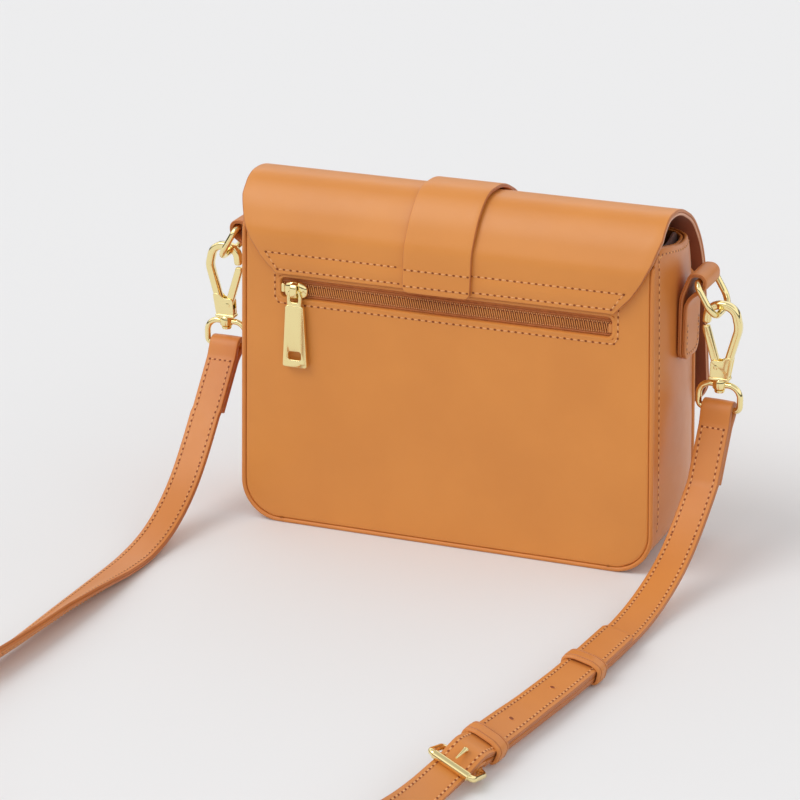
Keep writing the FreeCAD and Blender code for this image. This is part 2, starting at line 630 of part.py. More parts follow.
# ================================================================ build
def build_body():
    save("back_panel", back_panel())
    save("front_panel", outline(BINDING, FRONT_TOP, FRONT_FACE, FRONT_FACE + LEATHER))
    save("gusset", gusset())
    save("binding_back", binding(GUSSET_HIGH, BACK_FACE + 0.5, BACK_TOP))
    save("binding_front", binding(FRONT_FACE - 0.5, GUSSET_LOW, FRONT_TOP))
    save("back_stiffener", stiffener(BACK_FACE - LEATHER, -BOARD, 108))
    save("front_stiffener", stiffener(FRONT_FACE + LEATHER, BOARD, FRONT_TOP - 4))
    save("base_board", base_board())
    save("lining", lining())


def build_zip():
    save("zip_pocket", zip_pocket())
    save("zip_tape_lower", zip_tape(ZIP_LINE - 12, ZIP_LINE - 0.1))
    save("zip_tape_upper", zip_tape(ZIP_LINE + 0.1, ZIP_LINE + 12))
    save("zip_teeth_lower", zip_teeth(-1))
    save("zip_teeth_upper", zip_teeth(1))
    save("zip_stop_closed", zip_stop(83.6))
    save("zip_stop_open", zip_stop(-83.6))
    save("zip_slider", zip_slider())
    save("zip_puller", zip_puller())


def build_flap():
    mask = flap_mask()
    outer = flap_layer(0, FLAP_LAYER).common(mask)
    inner = flap_layer(FLAP_LAYER, 2 * FLAP_LAYER).common(mask)
    save("flap_anchor", below_hinge(outer.fuse(inner)).removeSplitter())
    save("flap_outer", above_hinge(outer))
    flap_inner = above_hinge(inner)
    save("flap_lining", flap_inner)
    save("belt_anchor", below_hinge(belt()))
    save("belt_strap", above_hinge(belt()))
    save("snap_socket", snap_socket())
    save("snap_stud", snap_stud(flap_inner))


def build_side(side):
    """Everything that hangs from one side of the bag."""
    axis = V(HOOK_X, 0, 0)
    turn = LOOP_TURN[side] if side == "right" else -LOOP_TURN[side]
    pieces = {"ring_tab": ring_tab(), "ring": ring(), "hook_body": hook_body(), "hook_gate": hook_gate(),
              "gate_pin": gate_pin(), "gate_spring": gate_spring(), "swivel_post": swivel_post(),
              "swivel_loop": turned(swivel_loop(), axis, V(0, 0, 1), turn),
              "strap_end": turned(strap_end(END_TILT[side]), axis, V(0, 0, 1), turn)}
    for name, shape in pieces.items():
        save(name + "_" + side, shape if side == "left" else mirrored(shape))


def build_strap():
    short = path_stations(SHORT_ROUTE, SHORT_ROLL, "short strap")
    save("strap_short", ribbon(short, "short strap"))
    save("strap_long", ribbon(path_stations(LONG_ROUTE, LONG_ROLL, "long strap"), "long strap"))
    save("strap_tail", strap_tail())
    save("keeper_sliding", keeper(KEEPER_SLIDING, KEEPER_SLIDING_AIM, KEEPER_ROLL))
    fixed = frame_at(BUCKLE_POINT, BUCKLE_AIM, BUCKLE_ROLL).multVec(V(-17, 0, 0))
    save("keeper_fixed", keeper(tuple(fixed), BUCKLE_AIM, BUCKLE_ROLL))
    save("buckle_frame", buckle_frame())
    save("buckle_fold", buckle_fold())
    save("buckle_prong", buckle_prong())


build_body()
build_zip()
build_flap()
build_side("left")
build_side("right")
build_strap()
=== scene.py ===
import bmesh
import bpy
from math import acos, atan2, copysign, cos, exp, hypot, pi, radians, sin, tan
import numpy as np
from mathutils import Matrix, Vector


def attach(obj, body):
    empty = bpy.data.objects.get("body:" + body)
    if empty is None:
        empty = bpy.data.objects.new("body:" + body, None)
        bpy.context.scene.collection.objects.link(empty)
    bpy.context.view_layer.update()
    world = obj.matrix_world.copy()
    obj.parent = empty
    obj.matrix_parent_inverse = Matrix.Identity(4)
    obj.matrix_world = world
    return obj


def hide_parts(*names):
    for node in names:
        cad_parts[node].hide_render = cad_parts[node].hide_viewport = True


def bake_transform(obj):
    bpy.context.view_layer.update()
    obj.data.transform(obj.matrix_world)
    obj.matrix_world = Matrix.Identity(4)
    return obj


# Looks of the box-shaped leather crossbody bag. Sizes are in millimetres until a mesh is made.
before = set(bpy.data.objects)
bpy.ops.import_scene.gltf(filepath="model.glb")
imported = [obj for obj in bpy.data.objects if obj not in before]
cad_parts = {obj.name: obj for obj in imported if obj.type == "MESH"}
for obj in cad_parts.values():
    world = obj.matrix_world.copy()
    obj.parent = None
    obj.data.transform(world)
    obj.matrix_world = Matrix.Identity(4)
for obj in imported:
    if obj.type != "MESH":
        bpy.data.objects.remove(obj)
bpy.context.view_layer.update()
MM = 0.001
MIRROR = np.array([-1.0, 1, 1])

# ---- body and binding
BODY_HALF, SIDE_TAPER, CORNER_RADIUS = 107.5, 0.018, 20.0
BACK_FACE, FRONT_FACE, LEATHER = 31.5, -34.0, 1.8
BACK_PANEL_TOP, BACK_LEAN_START = 152.5, 147
GUSSET_LOW, GUSSET_HIGH = -31.7, 29.2
GUSSET_INSET, GUSSET_BULGE, GUSSET_BEND = 0.8, 4.0, 19.8
BINDING, PANEL_GAP = 2.2, 0.1
BACK_BINDING_TOP, FRONT_BINDING_TOP = 153.5, 141.0
FRONT_TUCK_START, FRONT_TUCK = 133, 7.2
RIM = [(29.2, 153.5), (25.0, 162.0), (13.0, 160.3), (-2.0, 157.4), (-12.0, 156.6), (-15.5, 157.0)]
RIM_FRONT, RIM_TURN = 159.4, -15.2      # height of the opening's front edge, Y where the sides turn

# ---- zip
ZIP_HALF, ZIP_LOW, ZIP_HIGH, ZIP_LINE = 85.0, 117.0, 128.0, 122.0
TAPE_FACE, TAPE_HALF, TAPE_WIDTH = BACK_FACE - LEATHER - 0.1, 91, 12
TOOTH_START, TOOTH_END, TOOTH_PITCH = -83, 70.5, 2.3
SLIDER_X = 76.0
PULLER_Y, PULLER_LENGTH = 34.75, 33.0
WINDOW_EDGE = [(-1.2, -0.5), (-1.1, 0.05), (-0.5, 0.22), (0.2, 0.05), (0.55, -0.45), (0.55, -1.8),
               (-1.2, -1.8)]    # section of the turned edge: inward, then out of the panel

# ---- flap and belt
FLAP_LOW, FLAP_ROOT = 130.0, 45          # the root is the length sewn to the back
FLAP_PROFILE = [(34.5, FLAP_LOW), (34.5, 151.0), (27.4, 165.8), (17.0, 174.9), (-1.0, 174.9),
                (-22.0, 165.0), (-33.8, 151.0), (-39.4, 138.5), (-46.0, 62.0)]
BELT_PROFILE = [(34.7, FLAP_LOW - 1), (34.7, 151.3), (28.4, 166.4), (17.6, 175.8), (-1.2, 175.8),
                (-22.6, 165.7), (-34.5, 151.4), (-40.1, 138.6), (-46.0, 66.0)]
FLAP_RADII = [0, 15.0, 34.0, 16.0, 42.0, 38.0, 46.0, 38.0, 0]
ROOT_WIDTHS = [(130, 86.3), (139, 94.6), (146.5, 99.6), (155, 103.5), (166, 106.8)]   # by height
FLAP_HALF, FLAP_FRONT_HALF, FLAP_CORNER = 106.8, 110.5, 14
BELT_X, BELT_WIDTH, BELT_THICK, BELT_CORNER = 3.3, 34.5, 2.1, 3.0
SEAMS = [(132.3, 85.0, 1.3), (140.4, 91.0, 1.6)]      # height, half length, the belt's shift there
FLAP_FACE, FLAP_EDGE_FACE, BELT_FACE = 34.38, 34.68, 36.74     # where the seams lie along Y
CLOSURE_Z, STUD_Y = 80.0, -40.8

# ---- rings, hooks and loops, on the left side
FOLD_X, FOLD_Z, FOLD_HALF = 118.4, 141.4, 4.3
TAB_Y, TAB_LOW, TAB_HALF, TAB_CORNER = -3.5, 101.5, 11.0, 5.5
RING_WIRE, RING_DROP, RING_HALF = 1.6, 18.2, 13.3
RING_LEAN = radians(30)
HOOK_X, HOOK_THICK, PIN_S, PIN_Z = 128.5, 4.4, -1.6, 99.0
HOOK_PLATE_IN, HOOK_PLATE_OUT = 1.68, 2.25            # one base plate, out from the hook's middle
LOOP_WIRE, LOOP_HALF, LOOP_TOP, LOOP_BOTTOM = 1.5, 10.5, 90.2, 78.0
LOOP_TURN = {"left": 0.0, "right": 5.0}               # degrees, before the right side is mirrored
LOOP_BAR = np.array([HOOK_X, 0, LOOP_BOTTOM])

# ---- strap: places along its parts, and the roll of the leather there in degrees
STRAP_WIDTH, STRAP_THICK, END_LENGTH = 15.5, 2.8, 36.0
STRAP_SEAM = STRAP_WIDTH / 2 - 2.2                    # each row of stitches from the middle
END_TILT = {"left": 40.0, "right": 26.0}
TIP_CORNER, FREE_LENGTH = 3.0, 110.0       # the place this far down the strap below its end is sampled, and not used
DISH, DISH_PLACES = 1.3, [90, 150, 560, 620]
KEEPER_ROOM, KEEPER_GAP = 0.35, 17         # round the strap, and from the buckle to the fixed one
LONG_ROUTE = [
    (129.0, 25.4, 50.0), (129.0, 38.0, 35.0), (129.0, 56.0, 18.5), (129.0, 79.0, 6.8),
    (129.2, 104.0, 2.1), (129.0, 130.0, 2.8), (128.6, 157.0, 4.4), (128.5, 190.0, 5.6),
    (129.0, 222.0, 6.2), (130.8, 252.0, 6.8), (133.5, 289.0, 7.6), (131.5, 328.0, 8.0),
    (121.0, 365.0, 8.0), (98.0, 397.0, 8.0), (66.0, 419.0, 8.0), (28.0, 429.0, 8.0),
    (-10.0, 425.0, 8.0), (-44.0, 409.0, 8.0), (-70.0, 383.0, 7.8), (-86.0, 352.0, 7.2),
    (-94.5, 324.0, 6.8), (-98.0, 303.0, 7.0), (-100.3, 286.7, 8.5)]
LONG_ROLL = [0, 0, 0, 0, 0, -8, -20, -31, -37, -42, -56, -68, -76, -80, -80, -80, -80, -80, -74, -60,
             -44, -32, -23]
SHORT_ROUTE = [
    (-126.8, 17.8, 44.8), (-125.6, 31.0, 32.0), (-123.8, 52.0, 17.5), (-121.7, 75.0, 9.2),
    (-120.5, 100.0, 5.9), (-118.8, 128.0, 5.4), (-115.4, 171.0, 5.6), (-110.4, 212.0, 6.3),
    (-106.4, 240.0, 7.1), (-103.0, 262.6, 7.4)]
SHORT_ROLL = [0, 0, 4, 10, 12, 12, 12, 14, 23, 23]
TAIL_ROUTE = [
    (-100.3, 286.4, 8.5), (-101.1, 280.5, 8.6), (-104.5, 269.3, 13.1), (-105.0, 264.3, 12.7),
    (-104.8, 257.8, 10.4), (-106.2, 246.9, 10.4), (-108.4, 231.0, 9.95), (-111.2, 211.6, 9.5),
    (-116.0, 171.0, 8.65), (-119.4, 128.0, 8.5), (-120.1, 118.5, 8.6)]
TAIL_ROLL = [-23, -23, -23, -23, -23, -23, -21, -14, -12, -12, -12]
HOLES = [(-113.6, 191.5, 9.0), (-108.5, 230.2, 9.9)]
KEEPER_SLIDING, KEEPER_SLIDING_AIM, KEEPER_ROLL = (-116.4, 158.0, 5.55), (3.4, 43.0, 0.2), 12.0
BUCKLE_POINT, BUCKLE_AIM, BUCKLE_ROLL = (-102.2, 268.5, 7.4), (1.3, 9.9, 0.0), 23.0
BUCKLE_LENGTH, BUCKLE_HALF, BUCKLE_WIRE, FRONT_BAR_LIFT = 14.0, 10.9, 1.5, 4.4
END_PIECE = 28.0           # the first stretch below each sewn end is a piece of its own

# ---- camera and lights
CAMERA_AT = (-569.1, 1493.2, 631.1)
CAMERA_TO = (35.0, 0.0, 60.5)
CAMERA_LENS = 155.8
WORLD_LIGHT, SUN_LIGHT = 1.12, 0.94


# ---- materials
def set_inputs(node, values):
    for name, value in values.items():
        node.inputs[name].default_value = value


def new_material(name, colour, rough, metallic=0.0, sheen=0.0, coat=0.0):
    """A Principled material with its uniform values on the shader's own sockets."""
    material = bpy.data.materials.new(name)
    material.use_nodes = True
    set_inputs(material.node_tree.nodes["Principled BSDF"],
               {"Base Color": (*colour, 1), "Roughness": rough, "Metallic": metallic,
                "Sheen Weight": sheen, "Coat Weight": coat, "Coat Roughness": 0.3})
    material.diffuse_color = (*colour, 1)
    return material


def add_node(owner, kind, values=None, sources=None):
    """A shader node with some inputs set and others fed by outputs of earlier nodes."""
    node = owner.node_tree.nodes.new("ShaderNode" + kind)
    set_inputs(node, values or {})
    for name, source in (sources or {}).items():
        owner.node_tree.links.new(source, node.inputs[name])
    return node


def feed_shader(material, name, source):
    shader = material.node_tree.nodes["Principled BSDF"]
    material.node_tree.links.new(source, shader.inputs[name])


def noise(material, scale, detail=3.0, stretch=(1, 1, 1)):
    """Noise in object space, its scale in features per metre."""
    place = add_node(material, "TexCoord").outputs["Object"]
    mapping = add_node(material, "Mapping", {"Scale": stretch}, {"Vector": place})
    texture = add_node(material, "TexNoise", {"Scale": scale, "Detail": detail},
                       {"Vector": mapping.outputs["Vector"]})
    return texture.outputs["Fac"]


def tint(material, value, low, high):
    """Colour the surface from low to high over the middle of the value's range."""
    ramp = add_node(material, "ValToRGB", sources={"Fac": value})
    for i, place, colour in ((0, 0.35, low), (1, 0.65, high)):
        ramp.color_ramp.elements[i].position = place
        ramp.color_ramp.elements[i].color = (*colour, 1)
    feed_shader(material, "Base Color", ramp.outputs["Color"])


def bump(material, values, strength, distance):
    """Raise the surface by the sum of some textures."""
    total = values[0]
    for value in values[1:]:
        total = add_node(material, "Math", sources={0: total, 1: value}).outputs[0]
    node = add_node(material, "Bump", {"Strength": strength, "Distance": distance}, {"Height": total})
    feed_shader(material, "Normal", node.outputs["Normal"])


def vary_roughness(material, value, low, high):
    spread = add_node(material, "MapRange", {"To Min": low, "To Max": high}, {"Value": value})
    feed_shader(material, "Roughness", spread.outputs["Result"])


def pores(material, scale):
    """Small cells, like the grain of corrected leather."""
    place = add_node(material, "TexCoord").outputs["Object"]
    cells = add_node(material, "TexVoronoi", {"Scale": scale}, {"Vector": place})
    cells.feature = "DISTANCE_TO_EDGE"
    return cells.outputs["Distance"]


def leather_material(name, low, high, rough, grain=0.08):
    """Smooth calf: broad tone changes, fine cells and a soft sheen."""
    material = new_material(name, high, rough, sheen=0.04, coat=0.08)
    tint(material, noise(material, 22, 4), low, high)
    vary_roughness(material, noise(material, 160, 3), rough - 0.05, rough + 0.07)
    bump(material, [pores(material, 1500), noise(material, 700, 4)], grain, 0.0002)
    return material


def fabric_material(name, low, high):
    """Fine twill: threads run both ways."""
    material = new_material(name, high, 0.85, sheen=0.3)
    tint(material, noise(material, 400, 2), low, high)
    across = noise(material, 900, 1, (1, 1, 0.05))
    along = noise(material, 900, 1, (0.05, 1, 1))
    bump(material, [across, along], 0.5, 0.0004)
    return material


def metal_material(name, colour, rough):
    """Polished plated zinc with faint hairlines."""
    material = new_material(name, colour, rough, metallic=1.0)
    vary_roughness(material, noise(material, 500, 3, (1, 1, 0.1)), rough - 0.04, rough + 0.06)
    bump(material, [noise(material, 250, 2)], 0.03, 0.0002)
    return material


TAN = leather_material("tan leather", (0.685, 0.249, 0.043), (0.725, 0.270, 0.048), 0.42)
TAN_STRAP = leather_material("strap leather", (0.635, 0.214, 0.038), (0.685, 0.240, 0.044), 0.46, 0.1)
# The gusset's copy of the tan leather is darker: painted shade on the sides, which face away from the light.
SHADED_SIDE_TAN = leather_material("gusset painted shade", (0.600, 0.190, 0.031), (0.645, 0.212, 0.036), 0.37)
EDGE = leather_material("painted edge", (0.47, 0.140, 0.028), (0.55, 0.180, 0.040), 0.45, 0.04)
LIGHT_EDGE = leather_material("lining edge", (0.62, 0.28, 0.14), (0.70, 0.34, 0.19), 0.4, 0.05)
# Dark red-brown put where shade falls: painted shade on the flap's underside and between the zip's coil
# turns.
PAINTED_SHADE = leather_material("dark painted shade", (0.24, 0.055, 0.015), (0.31, 0.075, 0.022), 0.75, 0.25)
LINING = fabric_material("lining fabric", (0.12, 0.030, 0.012), (0.17, 0.045, 0.018))
TAPE = fabric_material("zip tape", (0.50, 0.150, 0.032), (0.58, 0.185, 0.042))
COIL = leather_material("zip coil", (0.62, 0.22, 0.045), (0.72, 0.28, 0.065), 0.36, 0.02)
THREAD = leather_material("thread", (0.75, 0.34, 0.11), (0.83, 0.40, 0.145), 0.5, 0.3)
# Dark discs over stitch holes and the strap's punched holes: painted shade where the surface sinks in.
PIT_SHADE = leather_material("pit shade", (0.23, 0.048, 0.008), (0.30, 0.066, 0.012), 0.8, 0.3)
GOLD = metal_material("pale gold", (0.94, 0.79, 0.39), 0.10)
BOARD = fabric_material("board", (0.30, 0.25, 0.19), (0.38, 0.33, 0.26))


# ---- lines
def unit(v):
    v = np.asarray(v, float)
    return v / np.maximum(np.linalg.norm(v, axis=-1, keepdims=True), 1e-12)


def rounded(points, radii, closed=False, step=1.0):
    """A line through corner points in a plane, with rounded corners."""
    corners = [np.array(p, float) for p in points]
    count = len(corners)
    line = []
    for i, p in enumerate(corners):
        if radii[i] <= 0 or (not closed and i in (0, count - 1)):
            line.append(p)
            continue
        back, ahead = unit(corners[i - 1] - p), unit(corners[(i + 1) % count] - p)
        half = acos(np.clip(back @ ahead, -1, 1)) / 2
        reach = radii[i] / tan(half)
        centre = p + unit(back + ahead) * radii[i] / sin(half)
        first, last = p + back * reach - centre, p + ahead * reach - centre
        turn = atan2(first[0] * last[1] - first[1] * last[0], first @ last)
        pieces = max(3, int(abs(turn) * radii[i] / step))
        for k in range(pieces + 1):
            c, s = cos(turn * k / pieces), sin(turn * k / pieces)
            line.append(centre + np.array([c * first[0] - s * first[1], s * first[0] + c * first[1]]))
    if closed:
        line.append(line[0])
    return np.array(line)


def travelled(line):
    """Distance along a line at each of its points."""
    return np.concatenate([[0], np.cumsum(np.linalg.norm(np.diff(line, axis=0), axis=1))])


def sample(line, values, distances):
    """Points, or any values given at the line's points, at the distances along it."""
    along = travelled(line)
    values = np.asarray(values, float)
    if values.ndim == 1:
        return np.interp(distances, along, values)
    return np.stack([np.interp(distances, along, values[:, k]) for k in range(values.shape[1])], 1)


def outline(points, radii, step=0.3):
    """A closed line with rounded corners; one radius may stand for all of them."""
    if isinstance(radii, (int, float)):
        radii = [radii] * len(points)
    return rounded(points, radii, True, step)[:-1]


def box(left, right, low, high):
    return [(left, low), (right, low), (right, high), (left, high)]


def circle(centre, first, second, count):
    """Points round a circle, from its centre and two radii at right angles."""
    turn = np.linspace(0, 2 * pi, count, endpoint=False)[:, None]
    return centre + np.cos(turn) * first + np.sin(turn) * second


def loop_directions(line):
    """Unit vectors along a closed line."""
    return unit(np.roll(line, -1, 0) - np.roll(line, 1, 0))


def curve_mesh(curve):
    """The mesh that a curve makes."""
    holder = bpy.data.objects.new(curve.name, curve)
    bpy.context.collection.objects.link(holder)
    bpy.context.view_layer.update()
    graph = bpy.context.evaluated_depsgraph_get()
    mesh = bpy.data.meshes.new_from_object(holder.evaluated_get(graph))
    bpy.data.objects.remove(holder)
    return mesh


def spline_line(route):
    """The smooth line that a quadratic NURBS makes of the route's points."""
    curve = bpy.data.curves.new("route", "CURVE")
    curve.dimensions = "3D"
    curve.resolution_u = 16
    spline = curve.splines.new("NURBS")
    spline.points.add(len(route) - 1)
    for point, place in zip(spline.points, route):
        point.co = (*(c * MM for c in place), 1)
    spline.order_u = 3
    spline.use_endpoint_u = True
    return np.array([v.co for v in curve_mesh(curve).vertices]) / MM


def directions(line):
    return unit(np.gradient(line, axis=0))


def rolled(along, roll):
    """Unit vectors across a strap that runs along, turned about its line by a roll in degrees."""
    across = unit(np.cross([0, 0, 1.0], along))
    angle = np.radians(-np.asarray(roll))[..., None]
    return across * np.cos(angle) + np.cross(along, across) * np.sin(angle)


def rolled_sides(line, route, rolls):
    """The same for a whole line, from the rolls given at its route's points."""
    asked, made = travelled(np.array(route, float)), travelled(line)
    return rolled(directions(line), np.interp(made / made[-1], asked / asked[-1], rolls))


# ---- pieces
class Piece:
    """Vertices and faces, with a material each, gathered until the mesh is made."""

    def __init__(self, name):
        self.name, self.points, self.faces, self.slots = name, [], [], []
        self.materials, self.count = [], 0

    def index(self, material):
        if material not in self.materials:
            self.materials.append(material)
        return self.materials.index(material)

    def add(self, points, faces, material):
        self.points.append(np.asarray(points, float).reshape(-1, 3))
        self.faces += [tuple(v + self.count for v in face) for face in faces]
        self.slots += [self.index(material)] * len(faces)
        self.count += len(self.points[-1])

    def loft(self, rings, material, loop=False, edge=None, marks=()):
        """Skin closed rings of points, from one to the next. Marked parts get the edge material."""
        rings = np.asarray(rings, float)
        n, k = rings.shape[:2]
        faces = []
        for i in range(n if loop else n - 1):
            j = (i + 1) % n
            for a in range(k):
                b = (a + 1) % k
                faces.append((i * k + a, i * k + b, j * k + b, j * k + a))
        if not loop:
            faces.append(tuple(range(k))[::-1])
            faces.append(tuple((n - 1) * k + a for a in range(k)))
        self.add(rings, faces, material)
        if edge:
            first, painted = len(self.slots) - len(faces), self.index(edge)
            for f, face in enumerate(faces):
                if len(face) > 4 or (marks[face[0] % k] and marks[face[1] % k]):
                    self.slots[first + f] = painted

    def make(self, body, *nodes, slot="leather"):
        """The finished mesh. It rides its body, unless that is None, and stands for CAD nodes."""
        mesh = bpy.data.meshes.new(self.name)
        mesh.from_pydata((np.concatenate(self.points) * MM).tolist(), [], self.faces)
        for material in self.materials:
            mesh.materials.append(material)
        mesh.polygons.foreach_set("material_index", self.slots)
        rework(mesh, lambda work: bmesh.ops.recalc_face_normals(work, faces=work.faces))
        mesh.polygons.foreach_set("use_smooth", [True] * len(mesh.polygons))
        mesh.set_sharp_from_angle(angle=radians(40))
        thing = bpy.data.objects.new(self.name, mesh)
        bpy.context.collection.objects.link(thing)
        if body:
            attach(thing, body)
        if nodes:
            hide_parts(*nodes)
        return thing


def rework(mesh, change):
    work = bmesh.new()
    work.from_mesh(mesh)
    change(work)
    work.to_mesh(mesh)
    work.free()


def section(half, low, high, edge, groove=0.0, across=6, crown=0.0, cup=0.0):
    """Outline of a band's cross-section: across it, then out of its face."""
    edge = min(edge, (high - low) / 2 - 1e-3, half)
    turn = np.linspace(0, pi / 2, 4)
    middle = (low + high) / 2
    flat = np.linspace(-half + edge, half - edge, across + 1)
    top = [(a, high) for a in flat[:-1]]
    side = [(half - edge + edge * sin(t), high - edge + edge * cos(t)) for t in turn]
    side += [(half, middle + groove * 0.7), (half - groove, middle), (half, middle - groove * 0.7)]
    side += [(half - edge + edge * cos(t), low + edge - edge * sin(t)) for t in turn]
    under = [(a, low) for a in flat[-2:0:-1]]
    other = [(-a, b) for a, b in side[::-1]]
    ring = np.array(top[1:] + side + under + other)
    share = np.clip(np.abs(ring[:, 0]) / max(half, 1e-6), 0, 1)
    ring[:, 1] += crown * (1 - share ** 2) * (ring[:, 1] > middle) + cup * share ** 2
    return ring


def drop(distance, radius):
    """How far a surface falls away at a distance from its rounded edge."""
    near = np.clip(radius - distance, 0, radius)
    return radius - np.sqrt(radius ** 2 - near ** 2)


def value_at(value, place):
    """A number, or what a function gives for the place along a line."""
    return value(place) if callable(value) else value


def band(piece, line, sides, half, low, high, material, edge=0.5, groove=0.0, step=2.5, crown=0.0,
         cup=0.0, across=6, shift=0.0, paint=None, plain=(False, False)):
    """A flat band along a line. half, low, high, cup and shift may be functions of the distance along it.

    An end that is plain is cut square, where another piece carries on from it."""
    length = travelled(line)[-1]
    ends = edge * np.array([0.0, 0.12, 0.4])
    inner = np.linspace(0 if plain[0] else edge, length - (0 if plain[1] else edge),
                        max(2, int((length - 2 * edge) / step)) + 1)
    places = np.concatenate([[] if plain[0] else ends, inner, [] if plain[1] else length - ends[::-1]])
    sides = np.broadcast_to(np.asarray(sides, float), line.shape)
    points, across_at = sample(line, line, places), unit(sample(line, sides, places))
    along = unit(sample(line, directions(line), places))
    up = unit(np.cross(along, across_at))
    rings = []
    for i, place in enumerate(places):
        near = min(edge if plain[0] else place, edge if plain[1] else length - place)
        shrink = drop(near, edge)
        width, bottom, top, bend, aside = (value_at(v, place) for v in (half, low, high, cup, shift))
        shape = section(width - shrink, bottom + shrink, top - shrink, edge, groove, across, crown, bend)
        rings.append(points[i] + across_at[i] * (shape[:, :1] + aside) + up[i] * shape[:, 1:])
    marks = np.abs(shape[:, 0]) > width - shrink - edge * 0.62
    piece.loft(rings, material, edge=paint, marks=marks)


def wire_loop(piece, corners, radii, wire, plane, sides):
    """Round wire bent into a loop, in a plane given by its origin and two unit axes."""
    origin, first, second = plane
    flat = outline(corners, radii, 0.45)
    line = origin + flat[:, :1] * first + flat[:, 1:] * second
    normal = np.cross(first, second)
    rings = [circle(spot, wire * unit(np.cross(normal, ahead)), wire * normal, sides)
             for spot, ahead in zip(line, loop_directions(line))]
    piece.loft(rings, GOLD, loop=True)


def turned_part(piece, base, axis, profile, sides=24):
    """A turned metal part: radius and height pairs about an axis."""
    axis = unit(axis)
    first = unit(np.cross(axis, [0.3, 0.5, 0.81]))
    second = np.cross(axis, first)
    piece.loft([circle(base + axis * h, r * first, r * second, sides) for r, h in profile], GOLD)


def plate(piece, loops, low, high, bevel, material=None, centre=(0, 0)):
    """A flat plate with bevelled edges between two depths, filled between its loops in X and Z."""
    curve = bpy.data.curves.new("plate", "CURVE")
    curve.dimensions = "2D"
    curve.fill_mode = "BOTH"
    curve.extrude = (high - low) / 2 - bevel
    curve.bevel_depth = bevel
    curve.bevel_resolution = 2
    curve.offset = -bevel
    for loop in loops:
        spline = curve.splines.new("POLY")
        spline.points.add(len(loop) - 1)
        for point, (a, b) in zip(spline.points, loop):
            point.co = (a, b, 0, 1)
        spline.use_cyclic_u = True
    mesh = curve_mesh(curve)
    rework(mesh, lambda work: bmesh.ops.remove_doubles(work, verts=work.verts, dist=0.01))
    middle = (low + high) / 2
    points = [(a + centre[0], middle + c, b + centre[1]) for a, b, c in (v.co for v in mesh.vertices)]
    piece.add(points, [tuple(p.vertices) for p in mesh.polygons], material or GOLD)


def stitch_row(piece, line, normals, pitch=3.6, width=0.44, hole=0.52):
    """A row of stitches along a line on a surface: short threads between the needle's holes, each a dark
    disc of painted shade.
    """
    total = travelled(line)[-1]
    count = max(2, int(round(total / pitch)))
    places = np.linspace(0, total, count + 1)
    normals = np.broadcast_to(normals, np.shape(line))
    points, outs = sample(line, line, places), unit(sample(line, normals, places))
    shape = [(-1.0, 0.25, -0.20), (-0.72, 0.8, 0.02), (0.0, 1.0, 0.12), (0.72, 0.8, 0.02),
             (1.0, 0.25, -0.20)]     # along, thickness, lift
    for i in range(count):
        ahead = points[i + 1] - points[i]
        reach = np.linalg.norm(ahead) * 0.3
        ahead, out = unit(ahead), unit(outs[i] + outs[i + 1])
        side = np.cross(out, ahead)
        middle = (points[i] + points[i + 1]) / 2
        rings = [circle(middle + ahead * s * reach + out * lift * 2 * width, side * r * width,
                        out * r * width * 0.7, 6) for s, r, lift in shape]
        piece.loft(rings, THREAD)
    # Each hole: a flat dark disc of painted shade.
    for i in range(count + 1):
        ahead = unit(points[min(i + 1, count)] - points[max(i - 1, 0)])
        side = np.cross(outs[i], ahead)
        ring = circle(points[i] + outs[i] * 0.06, 1.25 * hole * ahead, hole * side, 8)
        piece.add(ring, [tuple(range(8))], PIT_SHADE)


# ---- body
def side_x(z):
    return BODY_HALF - SIDE_TAPER * z


def panel_line(inset, top):
    """The open outline of a panel, from its upper left corner round to its upper right."""
    points = [(-(side_x(top) - inset), top), (-(side_x(inset) - inset), inset),
              (side_x(inset) - inset, inset), (side_x(top) - inset, top)]
    radius = CORNER_RADIUS - inset
    return rounded(points, [0, radius, radius, 0])


def half_width(z, inset):
    """Half width of a panel at a height, with its rounded lower corners."""
    radius = CORNER_RADIUS - inset
    width = side_x(z) - inset
    low = np.clip(inset + radius - z, 0, radius)
    return width - radius + np.sqrt(radius ** 2 - low ** 2)


def lean_back(z):
    """How far the front leans back towards the opening, under the flap."""
    return np.interp(z, [90, 120, 140, 150, 156, 160], [0, 0.8, 2.2, 4.2, 8.0, 12.0])


def lean_in(z):
    """How far the back's top leans in under the flap."""
    return 0.03 * np.maximum(z - BACK_LEAN_START, 0) ** 2


def crown_at(x, z, height):
    """A panel's shallow crown, from 0 at its edges to 1 in the middle of its height."""
    return np.cos(np.clip(x / 104, -1, 1) * pi / 2) * np.sin(np.clip(z / height, 0, 1) * pi)


